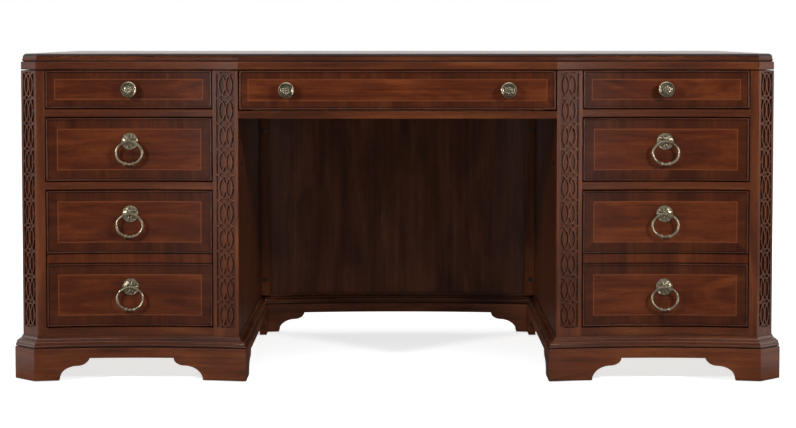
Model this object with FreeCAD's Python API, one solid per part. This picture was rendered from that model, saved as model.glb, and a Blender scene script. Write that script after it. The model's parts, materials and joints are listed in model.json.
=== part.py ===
import FreeCAD, Part
import math
import os

V = FreeCAD.Vector

# Plan sizes of the carcase, in mm
KNEEHOLE_W = 754.0
INNER_STILE_W = 61.0
DRAWER_OPENING_W = 396.0
OUTER_STILE_W = 20.0
CANT = 42.0
CARCASE_D = 868.0
FRONT_HOLLOW = 24.0
PLINTH_PROJECTION = 18.5
KNOB_REACH = 22.0

# Heights from the floor up
GLIDE_H = 3.0
PLINTH_H = 76.0
BASE_MOULDING_H = 27.0
BOTTOM_RAIL_H = 21.0
FILE_OPENING_H = 328.0
RAIL_H = 19.0
UTILITY_OPENING_H = 153.5
TOP_OPENING_H = 93.5
FRIEZE_H = 19.0
TOP_T = 19.0
SHADOW_GAP = 2.0
CENTRE_RAIL_H = 18.5
CENTRE_OPENING_H = 97.0

# Board thicknesses
SIDE_T = 20.0
BACK_T = 18.0
BOTTOM_T = 18.0
FRIEZE_T = 20.0
POST_D = 62.0
STILE_D = 34.0
FRONT_T = 20.0
CENTRE_FRONT_T = 22.0
CENTRE_RAIL_D = 50.0
PEDESTAL_TOP_T = 19.0
CARCASE_LAP = 20.0
EASE = 1.2

# Top edge moulding
TOP_INSET = 2.5
TOP_STRIP_W = 45.0
TOP_OVOLO = 9.5
TOP_STEP = 1.5
TOP_FILLET_H = 2.5

# Bracket feet
OUTER_FOOT_W = 56.0
INNER_FOOT_W = 104.0
REAR_FOOT_W = 150.0
MODESTY_FOOT_W = 30.0
FOOT_COVE_W = 44.0
FOOT_COVE_H = 34.0
FOOT_ROUND_W = 26.0
FOOT_ROUND_H = 18.0
GLIDE_R = 11.0
GLIDE_IN = 30.0

# Drawers
REVEAL = 2.5
BEAD_W = 3.5
BEAD_PROUD = 2.5
BEAD_DEEP = 4.0
BEAD_ROUND = 1.3
MOCK_GROOVE_W = 2.5
MOCK_GROOVE_D = 3.0
BOX_T = 12.0
BOX_BOTTOM_T = 6.0
BOX_BOTTOM_UP = 10.0
BOX_GROOVE = 5.0
DRAWER_BOX_L = 600.0
FILE_BOX_L = 570.0
TOP_BOX_H = 64.0
UTILITY_BOX_H = 122.0
FILE_BOX_H = 262.0
FILE_BOX_UP = 8.0
CENTRE_BOX_H = 62.0

# Runners and slides
RUNNER_GUIDE_H = 30.0
RUNNER_LEDGE_T = 14.0
RUNNER_LEDGE_W = 14.0
RUNNER_RISE = 1.5
RUN_FIT = 0.4
GUIDE_FIT = 0.5
BOX_SIDE_FIT = 2.0
CENTRE_GUIDE_T = 17.0
SLIDE_SPACE = 12.7
SLIDE_L = 540.0
SLIDE_H = 45.0
SLIDE_T = 1.2
SLIDE_FIT = 0.4
SLIDE_LIP = 10.0
SLIDE_UP = 120.0
BATTEN_H = 70.0

# Blind fretwork
FRET_T = 4.0
FRET_PERIOD = 60.7
FRET_COUNT = 10
FRET_W = 46.0
FRET_EDGE = 1.5
FRET_STRAND = 3.4
FRET_OVAL_W = 35.0
FRET_OVAL_H = 56.5
FRET_WAVE_IN = 0.9
FRET_TIE = 2.4
FRET_POINTS = 9

# Modesty panel
MODESTY_BOW = 36.0
MODESTY_T = 18.0
CLEAT_W = 28.0
CLEAT_H = 520.0

# Handles
KNOB_R = 19.0
KNOB_NECK_R = 7.0
KNOB_FOOT_R = 11.0
KNOB_HEAD_T = 11.0
KNOB_SPREAD = 524.0
STUD_R = 2.5
STUD_L = 14.0
PLATE_R = 20.0
PLATE_RIM_T = 2.0
PLATE_DOME = 6.5
PLATE_RISE = 19.0
RING_W = 68.0
RING_H = 60.0
RING_ROD = 6.0
RING_END_R = 24.0
RING_STANDOFF = 14.0
RING_FIT = 0.5
EYE_R = 6.5
EYE_T = 6.0
RING_BEAD_R = 5.0
RING_COLLAR_R = 4.4
RING_COLLAR_OUT = 10.5

# Assembly bolts
BOLT_HEAD_R = 5.0
BOLT_HEAD_T = 2.5
BOLT_R = 2.5
BOLT_L = 16.0
SIDE_BOLT_BACK = 98.0
SIDE_BOLT_Z = 514.0
CLEAT_BOLT_LOW = 150.0
CLEAT_BOLT_HIGH = 560.0

# Levels and lines that follow from the sizes above
x_knee = KNEEHOLE_W / 2
x_open0 = x_knee + INNER_STILE_W
x_open1 = x_open0 + DRAWER_OPENING_W
x_cant = x_open1 + OUTER_STILE_W
x_side = x_cant + CANT
x_drawer = (x_open0 + x_open1) / 2
half_chord = (x_cant - x_knee) / 2
x_ped = (x_cant + x_knee) / 2
hollow_r = (half_chord ** 2 + FRONT_HOLLOW ** 2) / (2 * FRONT_HOLLOW)
corner_rise = math.sqrt((hollow_r - PLINTH_PROJECTION) ** 2 - (half_chord + PLINTH_PROJECTION) ** 2)
foot_reach = hollow_r - FRONT_HOLLOW - corner_rise
y_front = max(KNOB_REACH, foot_reach) - (CARCASE_D + max(KNOB_REACH, foot_reach) + foot_reach) / 2
y_back = y_front + CARCASE_D
y_mid = (y_front + y_back) / 2
z_plinth = GLIDE_H
z_apron = z_plinth + FOOT_COVE_H + FOOT_ROUND_H
z_moulding = z_plinth + PLINTH_H
z_body = z_moulding + BASE_MOULDING_H
z_file0 = z_body + BOTTOM_RAIL_H
z_file1 = z_file0 + FILE_OPENING_H
z_util0 = z_file1 + RAIL_H
z_util1 = z_util0 + UTILITY_OPENING_H
z_top0 = z_util1 + RAIL_H
z_frieze = z_top0 + TOP_OPENING_H
z_slab = z_frieze + FRIEZE_H
z_top = z_slab + TOP_T
z_post = z_frieze - SHADOW_GAP
z_carcase = z_moulding - CARCASE_LAP
z_centre0 = z_frieze - CENTRE_OPENING_H
y_hollow = y_front + FRONT_HOLLOW - hollow_r
y_face = y_front + FRONT_HOLLOW
y_box = y_face + FRONT_T
y_rail = y_front + POST_D
y_runner1 = y_back - POST_D
FLOOR_CUT = 5.0
TALL = z_top + 100.0


os.makedirs("parts", exist_ok=True)


def save(name, shapes):
    shape = shapes[0] if len(shapes) == 1 else Part.makeCompound(shapes)
    shape.exportStep("parts/" + name + ".step")


def box(x0, x1, y0, y1, z0, z1):
    return Part.makeBox(x1 - x0, y1 - y0, z1 - z0, V(x0, y0, z0))


def prism(points, z0, z1):
    wire = Part.makePolygon([V(p[0], p[1], z0) for p in points + points[:1]])
    return Part.Face(wire).extrude(V(0, 0, z1 - z0))


def rod(base, axis, radius, length):
    return Part.makeCylinder(radius, length, V(*base), V(*axis))


def flip_x(shape):
    return shape.mirror(V(0, 0, 0), V(1, 0, 0))


def flip_y(shape):
    return shape.mirror(V(0, y_mid, 0), V(0, 1, 0))


def pair(shape):
    return [shape, flip_x(shape)]


def four(shape):
    back = flip_y(shape)
    return [shape, back, flip_x(shape), flip_x(back)]


def hollow_y(x):
    return y_hollow + math.sqrt(hollow_r ** 2 - (x - x_ped) ** 2)


def hollow_drum(radius, z0, z1):
    return Part.makeCylinder(radius, z1 - z0, V(x_ped, y_hollow, z0), V(0, 0, 1))


# Corner points of a pedestal in plan, moved outward by an offset
def pedestal_plan(offset):
    radius = hollow_r - offset
    xi = x_knee - offset
    inner = (xi, y_hollow + math.sqrt(radius ** 2 - (xi - x_ped) ** 2))
    k = x_cant - y_front + offset * math.sqrt(2)
    m = x_ped - k - y_hollow
    u = (math.sqrt(2 * radius ** 2 - m ** 2) - m) / 2
    corner = (x_ped + u, x_ped + u - k)
    side = (x_side + offset, x_side + offset - k)
    front = [inner, corner, side]
    return front + [(p[0], 2 * y_mid - p[1]) for p in reversed(front)]


pedestal_arcs = [(x_ped, y_hollow), None, None, None, (x_ped, 2 * y_mid - y_hollow), None]


# Corner points of the desk top in plan, moved outward by an offset
def desk_plan(offset):
    radius = hollow_r - offset
    yi = y_front - offset
    xi = x_ped - math.sqrt(radius ** 2 - (yi - y_hollow) ** 2)
    front = [(xi, yi)] + pedestal_plan(offset)[1:3]
    right = front + [(p[0], 2 * y_mid - p[1]) for p in reversed(front)]
    return right + [(-p[0], p[1]) for p in reversed(right)]


desk_arcs = pedestal_arcs[:5] + [None]
desk_arcs = desk_arcs + [(-x_ped, 2 * y_mid - y_hollow), None, None, None, (-x_ped, y_hollow), None]


# One mitred length of a strip: the section is extruded along a line or turned along an arc
def strip(plan, arcs, index, section, reach):
    base = plan(0.0)
    far = plan(reach)
    count = len(base)
    p0 = V(base[index][0], base[index][1], 0)
    p1 = V(base[(index + 1) % count][0], base[(index + 1) % count][1], 0)
    m0 = V(far[index][0], far[index][1], 0) - p0
    m1 = V(far[(index + 1) % count][0], far[(index + 1) % count][1], 0) - p1
    low = -60.0 / abs(reach)
    high = 60.0 / abs(reach) + 1.0
    wedge = [p0 + m0 * low, p0 + m0 * high, p1 + m1 * high, p1 + m1 * low]
    wedge = prism([(q.x, q.y) for q in wedge], -FLOOR_CUT, TALL)
    if arcs[index] is None:
        along = (p1 - p0).normalize()
        out = V(along.y, -along.x, 0)
        length = (p1 - p0).Length
        run = section(p0 - along * 60.0, out).extrude(along * (length + 120.0))
    else:
        centre = V(arcs[index][0], arcs[index][1], 0)
        out = (centre - p0).normalize()
        turn = math.degrees((p0 - centre).getAngle(p1 - centre))
        extra = 4.0
        face = section(p0, out)
        face.rotate(centre, V(0, 0, 1), extra)
        run = face.revolve(centre, V(0, 0, 1), -(turn + 2 * extra)).toNurbs()
    return run.common(wedge)


def section_point(origin, out, point):
    return V(origin.x + out.x * point[0], origin.y + out.y * point[0], point[1])


# A plane section from lines and three-point arcs given as (offset, height) pairs
def outline_face(origin, out, start, moves):
    edges = []
    here = start
    for move in moves:
        there = move[-1]
        a = section_point(origin, out, here)
        b = section_point(origin, out, there)
        if len(move) == 2:
            edges.append(Part.Arc(a, section_point(origin, out, move[0]), b).toShape())
        else:
            edges.append(Part.makeLine(a, b))
        here = there
    return Part.Face(Part.Wire(edges))


# Board on edge, its outer corners eased below and above
def board_section(e0, e1, z0, z1, low_ease, high_ease):
    moves = [[(e1 - low_ease, z0)], [(e1, z0 + low_ease)]] if low_ease else [[(e1, z0)]]
    moves += [[(e1, z1 - high_ease)], [(e1 - high_ease, z1)], [(e0, z1)], [(e0, z0)]]
    return lambda origin, out: outline_face(origin, out, (e0, z0), moves)


def quarter(p0, p1, bulge_first):
    c = math.sqrt(0.5)
    if bulge_first:
        return [(p0[0] + (p1[0] - p0[0]) * c, p0[1] + (p1[1] - p0[1]) * (1 - c)), p1]
    return [(p0[0] + (p1[0] - p0[0]) * (1 - c), p0[1] + (p1[1] - p0[1]) * c), p1]


# Base moulding: bead at the foot, round, fillet, hollow and a small fillet on top
def base_section(origin, out):
    p = PLINTH_PROJECTION
    z = z_moulding
    h = BASE_MOULDING_H
    moves = [[(p - 4.5, z)], [(p - 4.5, z + 1.5)], [(p - 4, z + 1.5)]]
    moves += [[(p - 0.75, z + 4.75), (p - 4, z + 8)], [(p - 3, z + 8)], [(p - 3, z + 11)]]
    moves += [quarter((p - 3, z + 11), (p - 8.5, z + 16.5), False), [(p - 8.5, z + 18.5)]]
    moves += [[(p - 9, z + 18.5)], quarter((p - 9, z + 18.5), (p - 16, z + 25.5), True)]
    moves += [[(p - 16, z + h)], [(0, z + h)], [(0, z)]]
    return outline_face(origin, out, (0, z), moves)


# Top edge: hollow below, fillet, step and a round over the upper edge
def top_section(origin, out):
    e = -TOP_INSET
    z = z_slab
    z1 = z_slab + 3.5
    z2 = z1 + TOP_FILLET_H
    moves = [[(e - 4, z)], quarter((e - 4, z), (e - 0.5, z1), True), [(e, z1)], [(e, z2)]]
    moves += [[(e - TOP_STEP, z2)], [(e - TOP_STEP, z_top - TOP_OVOLO)]]
    moves += [quarter((e - TOP_STEP, z_top - TOP_OVOLO), (e - TOP_STEP - TOP_OVOLO, z_top), False)]
    moves += [[(-TOP_STRIP_W, z_top)], [(-TOP_STRIP_W, z)]]
    return outline_face(origin, out, (-TOP_STRIP_W, z), moves)


def quarter_curve(a, corner, b):
    k = 0.5522847
    curve = Part.BezierCurve()
    curve.setPoles([a, a + (corner - a) * k, b + (corner - b) * k, b])
    return curve.toShape()


# Space between two bracket feet, standing in the plane of along and Z
def bracket_face(origin, along, a0, a1):
    z0 = z_plinth
    z1 = z0 + FOOT_COVE_H
    z2 = z_apron

    def at(a, z):
        return origin + along * a + V(0, 0, z)

    def foot(a, s):
        b = a + s * FOOT_COVE_W
        c = b + s * FOOT_ROUND_W
        cove = quarter_curve(at(a, z0), at(a, z1), at(b, z1))
        ovolo = quarter_curve(at(b, z1), at(c, z1), at(c, z2))
        return cove, ovolo, c

    cove0, round0, c0 = foot(a0, 1)
    cove1, round1, c1 = foot(a1, -1)
    edges = [Part.makeLine(at(a0, z0 - FLOOR_CUT), at(a0, z0)), cove0, round0]
    edges += [Part.makeLine(at(c0, z2), at(c1, z2)), round1, cove1]
    edges += [Part.makeLine(at(a1, z0), at(a1, z0 - FLOOR_CUT))]
    edges += [Part.makeLine(at(a1, z0 - FLOOR_CUT), at(a0, z0 - FLOOR_CUT))]
    return Part.Face(Part.Wire(Part.__sortEdges__(edges)))


# Top board and frieze
slab_points = desk_plan(-TOP_STRIP_W)
slab_edges = []
for i in range(12):
    a = V(slab_points[i][0], slab_points[i][1], z_slab)
    b = V(slab_points[(i + 1) % 12][0], slab_points[(i + 1) % 12][1], z_slab)
    if desk_arcs[i] is None:
        slab_edges.append(Part.makeLine(a, b))
    else:
        c = V(desk_arcs[i][0], desk_arcs[i][1], z_slab)
        middle = ((a + b) * 0.5 - c).normalize() * (a - c).Length + c
        slab_edges.append(Part.Arc(a, middle, b).toShape())
top_slab = Part.Face(Part.Wire(slab_edges)).extrude(V(0, 0, TOP_T))
top_strips = [strip(desk_plan, desk_arcs, i, top_section, -TOP_STRIP_W) for i in range(12)]
save("top_board", [top_slab] + top_strips)
frieze_board = board_section(-FRIEZE_T, 0, z_frieze, z_slab, EASE, EASE)
frieze = [strip(desk_plan, desk_arcs, i, frieze_board, -FRIEZE_T) for i in range(12)]
save("frieze_front", [frieze[10], frieze[11], frieze[0]])
save("frieze_back", [frieze[4], frieze[5], frieze[6]])
save("frieze_ends", frieze[1:4] + frieze[7:10])

# Fretwork: one period of the pattern is an oval laced with half ovals that reach in from both sides
oval_a = (FRET_OVAL_W - FRET_STRAND) / 2
oval_b = (FRET_OVAL_H - FRET_STRAND) / 2
fret_half = FRET_STRAND / 2
fret_len = FRET_PERIOD * FRET_COUNT
fret_side = FRET_W / 2 - FRET_EDGE
wave_a = fret_side - FRET_WAVE_IN
wave_b = (FRET_PERIOD + FRET_TIE - FRET_STRAND) / 2
z_fret = z_post - 2.5 - fret_len - FRET_EDGE


def wave_x(z, side):
    b = wave_b - side * fret_half
    return fret_side - (wave_a - side * fret_half) * math.sqrt(max(0.0, 1 - (z / b) ** 2))


def oval_x(z, side):
    b = oval_b + side * fret_half
    return (oval_a + side * fret_half) * math.sqrt(max(0.0, 1 - (z / b) ** 2))


def steps(low, high):
    return [low + (high - low) * i / (FRET_POINTS - 1) for i in range(FRET_POINTS)]


def wave_arc(side, z0, z1):
    a = wave_a - side * fret_half
    b = wave_b - side * fret_half
    turns = steps(math.asin(z0 / b), math.asin(z1 / b))
    return [(fret_side - a * math.cos(t), b * math.sin(t)) for t in turns]


def oval_arc(side, t0, t1):
    a = oval_a + side * fret_half
    b = oval_b + side * fret_half
    return [(a * math.cos(t), b * math.sin(t)) for t in steps(t0, t1)]


def crossing(curve, other, low, high):
    sign = curve(low) - other(low) > 0
    for _ in range(60):
        middle = (low + high) / 2
        if (curve(middle) - other(middle) > 0) == sign:
            low = middle
        else:
            high = middle
    return low


def fret_curve(points, z0, flip):
    curve = Part.BSplineCurve()
    curve.interpolate([V(flip * p[0], 0, p[1] + z0) for p in points])
    return curve.toShape()


def fret_hole(curves, z0, flip):
    edges = []
    for points in curves:
        if len(points) == 2:
            ends = [V(flip * p[0], 0, p[1] + z0) for p in points]
            edges.append(Part.makeLine(ends[0], ends[1]))
        else:
            edges.append(fret_curve(points, z0, flip))
    return Part.Wire(edges)


oval_in = oval_b - fret_half
oval_out = oval_b + fret_half
lens_z = crossing(lambda z: oval_x(z, -1), lambda z: wave_x(z, 1), 0, oval_in)
waist_z = crossing(lambda z: oval_x(z, -1), lambda z: wave_x(z, -1), 0, oval_in)
link_z = crossing(lambda z: oval_x(z, 1), lambda z: wave_x(z, -1), 0, oval_out)
notch_z = crossing(lambda z: oval_x(z, 1), lambda z: wave_x(z, 1), 0, oval_out)

lens_in = wave_arc(1, -lens_z, lens_z)
lens_turn = math.asin(lens_z / oval_in)
lens_bow = oval_arc(-1, lens_turn, -lens_turn)
lens_bow[0] = lens_in[-1]
lens_bow[-1] = lens_in[0]

meet_z = crossing(lambda z: wave_x(z, -1), lambda z: 0.0, 0, waist_z)
waist_right = wave_arc(-1, meet_z, waist_z)
waist_right[0] = (0.0, meet_z)
waist_turn = math.asin(waist_z / oval_in)
waist_cap = oval_arc(-1, waist_turn, math.pi - waist_turn)
waist_cap[0] = waist_right[-1]
waist_cap[-1] = (-waist_right[-1][0], waist_right[-1][1])
waist_left = [(-p[0], p[1]) for p in reversed(waist_right)]
waist_hole = [waist_right, waist_cap, waist_left]

link_mid = FRET_PERIOD / 2
link_right = wave_arc(-1, link_z, link_mid)
link_left = [(-p[0], p[1]) for p in reversed(link_right)]
link_turn = math.asin(link_z / oval_out)
link_cap = oval_arc(1, math.pi - link_turn, link_turn)
link_cap[-1] = link_right[0]
link_cap[0] = link_left[-1]
link_line = [link_right[-1], link_left[0]]
half_link = [link_right, link_line, link_left, link_cap]

tie = FRET_TIE / 2
touch_z = wave_b - fret_half
edge_wave = wave_arc(1, touch_z, notch_z)
edge_wave[0] = (fret_side, touch_z)
edge_oval = oval_arc(1, math.asin(notch_z / oval_out), math.asin(tie / oval_out))
edge_oval[0] = edge_wave[-1]
edge_low = [edge_oval[-1], (fret_side, tie)]
edge_line = [(fret_side, tie), (fret_side, touch_z)]
edge_hole = [edge_low, edge_line, edge_wave, edge_oval]


def turned(curves):
    return [[(p[0], -p[1]) for p in curve] for curve in curves]


link_far = [[(p[0], FRET_PERIOD - p[1]) for p in reversed(curve)] for curve in (link_right, link_cap, link_left)]
link_hole = [link_right] + link_far + [link_left, link_cap]
fret_holes = []
for i in range(FRET_COUNT):
    middle = (i + 0.5) * FRET_PERIOD
    fret_holes.append(fret_hole(waist_hole, middle, 1))
    fret_holes.append(fret_hole(turned(waist_hole), middle, 1))
    for flip in (1, -1):
        fret_holes.append(fret_hole([lens_in, lens_bow], middle, flip))
        fret_holes.append(fret_hole(edge_hole, middle, flip))
        fret_holes.append(fret_hole(turned(edge_hole), middle, flip))
    if i < FRET_COUNT - 1:
        fret_holes.append(fret_hole(link_hole, middle, 1))
fret_holes.append(fret_hole(half_link, fret_len - FRET_PERIOD / 2, 1))
fret_holes.append(fret_hole(turned(half_link), FRET_PERIOD / 2, 1))
fret_rim = [(-FRET_W / 2, -FRET_EDGE), (FRET_W / 2, -FRET_EDGE)]
fret_rim += [(FRET_W / 2, fret_len + FRET_EDGE), (-FRET_W / 2, fret_len + FRET_EDGE)]
fret_rim = Part.makePolygon([V(p[0], 0, p[1]) for p in fret_rim + fret_rim[:1]])
fret_face = Part.makeFace([fret_rim] + fret_holes, "Part::FaceMakerBullseye")
fret_panel = fret_face.extrude(V(0, FRET_T, 0))
fret_recess = box(-FRET_W / 2, FRET_W / 2, -1, FRET_T, -FRET_EDGE, fret_len + FRET_EDGE)


def on_face(shape, x, y, angle):
    placed = shape.copy()
    placed.rotate(V(0, 0, 0), V(0, 0, 1), angle)
    placed.translate(V(x, y, z_fret))
    return placed


# Corner posts and inner stiles with the fretwork let in
stile_y = hollow_y(x_open0)
stile_turn = math.degrees(math.atan2(stile_y - y_front, INNER_STILE_W))
stile_at = ((x_knee + x_open0) / 2, (y_front + stile_y) / 2, stile_turn)
cant_at = (x_cant + CANT / 2, y_front + CANT / 2, 45.0)
post_plan = [(x_open1, hollow_y(x_open1)), (x_cant, y_front), (x_side, y_front + CANT)]
post_plan += [(x_side, y_rail), (x_open1, y_rail)]
stile_plan = [(x_knee, y_front), (x_open0, stile_y)]
stile_plan += [(x_open0, y_front + STILE_D), (x_knee, y_front + STILE_D)]
base_drum = hollow_drum(hollow_r, z_plinth, z_body)
post = prism(post_plan, z_carcase, z_post).cut(on_face(fret_recess, *cant_at)).cut(base_drum)
stile = prism(stile_plan, z_carcase, z_post).cut(on_face(fret_recess, *stile_at)).cut(base_drum)
save("corner_posts", four(post))
save("inner_stiles", four(stile))
frets = four(on_face(fret_panel, *cant_at)) + four(on_face(fret_panel, *stile_at))
save("fretwork_panels", frets)

# Sides, backs, bottoms and tops of the pedestals
outer_side = box(x_side - SIDE_T, x_side, y_rail, y_runner1, z_carcase, z_post)
inner_side = box(x_knee, x_knee + SIDE_T, y_front + STILE_D, y_back - STILE_D, z_carcase, z_post)
side_bolt = rod((x_knee, y_front + SIDE_BOLT_BACK, SIDE_BOLT_Z), (1, 0, 0), BOLT_R, BOLT_L)
inner_side = inner_side.cut(side_bolt)
back_panel = box(x_open0, x_open1, y_front, y_rail, z_carcase, z_post)
back_panel = back_panel.common(hollow_drum(hollow_r + BACK_T, z_carcase, z_post))
back_panel = flip_y(back_panel.cut(hollow_drum(hollow_r, z_carcase, z_post)))
save("right_outer_side", [outer_side])
save("left_outer_side", [flip_x(outer_side)])
save("right_back_panel", [back_panel])
save("left_back_panel", [flip_x(back_panel)])
x_in0 = x_knee + SIDE_T
x_in1 = x_side - SIDE_T
bottom = box(x_in0, x_in1, y_rail, y_runner1, z_moulding, z_moulding + BOTTOM_T)
save("pedestal_bottoms", pair(bottom))
pedestal_top = box(x_in0, x_in1, y_rail, y_runner1, z_frieze - PEDESTAL_TOP_T, z_frieze)
save("pedestal_tops", pair(pedestal_top))


# Rails across the drawer openings
def rail(z0, z1):
    board = box(x_open0, x_open1, y_front, y_rail, z0, z1).cut(hollow_drum(hollow_r, z0, z1))
    edges = [e for e in board.Edges if "Circle" in str(e.Curve)]
    return board.makeChamfer(EASE, edges)


rails = [rail(z_carcase, z_file0), rail(z_file1, z_util0), rail(z_util1, z_top0)]
save("drawer_rails", [s for r in rails for s in pair(r)])


# Wooden runners: a guide beside the drawer and a ledge under its side
def runner(z_rail):
    z0 = z_rail + RUNNER_RISE
    g0 = x_open0 + BOX_SIDE_FIT - GUIDE_FIT
    g1 = x_open1 - BOX_SIDE_FIT + GUIDE_FIT
    low = z0 - RUNNER_LEDGE_T
    high = z0 + RUNNER_GUIDE_H
    inner = [(x_in0, low), (g0 + RUNNER_LEDGE_W, low), (g0 + RUNNER_LEDGE_W, z0)]
    inner += [(g0, z0), (g0, high), (x_in0, high)]
    outer = [(x_in1, low), (g1 - RUNNER_LEDGE_W, low), (g1 - RUNNER_LEDGE_W, z0)]
    outer += [(g1, z0), (g1, high), (x_in1, high)]
    solids = []
    for plan in (inner, outer):
        wire = Part.makePolygon([V(p[0], y_rail, p[1]) for p in plan + plan[:1]])
        solids.append(Part.Face(wire).extrude(V(0, y_runner1 - y_rail, 0)))
    return solids


z_slide = z_file0 + SLIDE_UP
batten0 = box(x_in0, x_open0, y_rail, y_runner1, z_slide - BATTEN_H / 2, z_slide + BATTEN_H / 2)
batten1 = box(x_open1, x_in1, y_rail, y_runner1, z_slide - BATTEN_H / 2, z_slide + BATTEN_H / 2)
runners = runner(z_util0) + runner(z_top0) + [batten0, batten1]
save("drawer_runners", [s for r in runners for s in pair(r)])

# Plinth, base moulding, foot blocks and glides
plinth_board = board_section(0, PLINTH_PROJECTION, z_plinth, z_moulding, 0, EASE)
plinth = []
moulding = []
for i in range(6):
    plinth.append(strip(pedestal_plan, pedestal_arcs, i, plinth_board, PLINTH_PROJECTION))
    moulding.append(strip(pedestal_plan, pedestal_arcs, i, base_section, PLINTH_PROJECTION))
plinth_rim = pedestal_plan(PLINTH_PROJECTION)
front_gap = bracket_face(V(0, y_front - 60, 0), V(1, 0, 0), plinth_rim[0][0] + INNER_FOOT_W,
                         plinth_rim[1][0] - OUTER_FOOT_W).extrude(V(0, 120, 0))
side_gap = bracket_face(V(x_side - 30, 0, 0), V(0, 1, 0), plinth_rim[2][1] + OUTER_FOOT_W,
                        plinth_rim[3][1] - OUTER_FOOT_W).extrude(V(60, 0, 0))
knee_gap = bracket_face(V(x_knee - 30, 0, 0), V(0, 1, 0), plinth_rim[0][1] + INNER_FOOT_W,
                        plinth_rim[5][1] - REAR_FOOT_W).extrude(V(60, 0, 0))
plinth[0] = plinth[0].cut(front_gap)
plinth[4] = plinth[4].cut(flip_y(front_gap))
plinth[2] = plinth[2].cut(side_gap)
plinth[5] = plinth[5].cut(knee_gap)
save("plinth_boards", [s for p in plinth for s in pair(p)])
save("base_moulding", [s for p in moulding for s in pair(p)])
outer_block = prism(post_plan, z_plinth, z_carcase).cut(base_drum)
inner_block_plan = stile_plan[:2] + [(x_open0, y_rail), (x_knee, y_rail)]
inner_block = prism(inner_block_plan, z_plinth, z_carcase).cut(base_drum)
save("foot_blocks", four(outer_block) + four(inner_block))
outer_glide = rod((x_side - GLIDE_IN, y_front + GLIDE_IN, 0), (0, 0, 1), GLIDE_R, GLIDE_H)
inner_glide = rod((x_knee + GLIDE_IN, y_front + GLIDE_IN, 0), (0, 0, 1), GLIDE_R, GLIDE_H)
save("floor_glides", four(outer_glide) + four(inner_glide))

# Modesty panel, bowed toward the visitor
bow_r = (x_knee ** 2 + MODESTY_BOW ** 2) / (2 * MODESTY_BOW)
y_bow = y_back - bow_r
x_mod = x_knee - PLINTH_PROJECTION


def bow_drum(radius, z0, z1):
    return Part.makeCylinder(radius, z1 - z0, V(0, y_bow, z0), V(0, 0, 1))


def bow_shell(r0, r1, x, z0, z1):
    block = box(-x, x, y_back - 200, y_back + 60, z0, z1)
    return block.common(bow_drum(r1, z0, z1)).cut(bow_drum(r0, z0, z1))


bow_in = bow_r - MODESTY_T
upper = bow_shell(bow_in, bow_r, x_knee, z_body, z_frieze)
lower = bow_shell(bow_in, bow_r, x_mod, z_carcase, z_body)
modesty = upper.fuse(lower).removeSplitter()
modesty_gap = bracket_face(V(0, y_back - 200, 0), V(1, 0, 0), MODESTY_FOOT_W - x_mod,
                           x_mod - MODESTY_FOOT_W).extrude(V(0, 300, 0))
mod_boards = [(bow_in - PLINTH_PROJECTION, bow_in, z_moulding)]
mod_boards += [(bow_r, bow_r + PLINTH_PROJECTION, z_moulding), (bow_in, bow_r, z_carcase)]
mod_plinth = []
# Each board of the panel's plinth is an apron with a bracket foot under either end
for r0, r1, z1 in mod_boards:
    mod_plinth.append(bow_shell(r0, r1, x_mod, z_apron, z1))
    mod_plinth += bow_shell(r0, r1, x_mod, z_plinth, z_apron).cut(modesty_gap).Solids
save("modesty_plinth", mod_plinth)


# Moulding along the panel, scribed to the moulding of the pedestals
def bow_moulding(radius, side):
    reach = math.asin(x_knee / radius)
    start = V(math.sin(reach) * radius, y_bow + math.cos(reach) * radius, 0)
    out = V(start.x, start.y - y_bow, 0).normalize() * side
    face = base_section(start, out)
    run = face.revolve(V(0, y_bow, 0), V(0, 0, 1), math.degrees(2 * reach))
    run = run.common(box(-x_knee, x_knee, y_back - 200, y_back + 60, z_moulding, z_body))
    for piece in pair(moulding[5]):
        run = run.cut(piece)
    return run


save("modesty_moulding", [bow_moulding(bow_in, -1), bow_moulding(bow_r, 1)])
y_cleat = y_bow + math.sqrt(bow_in ** 2 - x_knee ** 2) - CLEAT_W
cleat = box(x_knee - CLEAT_W, x_knee, y_cleat, y_back, z_body, z_body + CLEAT_H)
cleat = cleat.common(bow_drum(bow_in, z_body, z_body + CLEAT_H))
bolts = [side_bolt.fuse(rod((x_knee, y_front + SIDE_BOLT_BACK, SIDE_BOLT_Z), (-1, 0, 0),
                            BOLT_HEAD_R, BOLT_HEAD_T))]
for z in (CLEAT_BOLT_LOW, CLEAT_BOLT_HIGH):
    at = (x_knee - CLEAT_W / 2, y_cleat, z)
    shank = rod(at, (0, 1, 0), BOLT_R, BOLT_L)
    cleat = cleat.cut(shank)
    bolts.append(shank.fuse(rod(at, (0, -1, 0), BOLT_HEAD_R, BOLT_HEAD_T)))
save("modesty_panel", [modesty])
save("modesty_cleats", pair(cleat))
save("assembly_bolts", [s for b in bolts for s in pair(b)])
save("right_inner_side", [inner_side])
save("left_inner_side", [flip_x(inner_side)])

# Centre rail and runners
centre_rail = box(-x_knee, x_knee, y_front, y_front + CENTRE_RAIL_D, z_centre0 - CENTRE_RAIL_H, z_centre0)
rail_edges = []
for edge in centre_rail.Edges:
    ends = [v.Point for v in edge.Vertexes]
    if all(abs(p.y - y_front) < 0.01 for p in ends) and abs(ends[0].z - ends[1].z) < 0.01:
        rail_edges.append(edge)
save("centre_rail", [centre_rail.makeFillet(EASE, rail_edges)])
z_cr = z_centre0 + RUNNER_RISE * 2
y_cr0 = y_front + CENTRE_RAIL_D
y_cr1 = y_cr0 + DRAWER_BOX_L
x_guide = x_knee - CENTRE_GUIDE_T
centre_plan = [(x_knee, z_cr - RUNNER_LEDGE_T), (x_guide - RUNNER_LEDGE_W, z_cr - RUNNER_LEDGE_T)]
centre_plan += [(x_guide - RUNNER_LEDGE_W, z_cr), (x_guide, z_cr), (x_guide, z_cr + RUNNER_GUIDE_H)]
centre_plan += [(x_knee, z_cr + RUNNER_GUIDE_H)]
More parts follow.
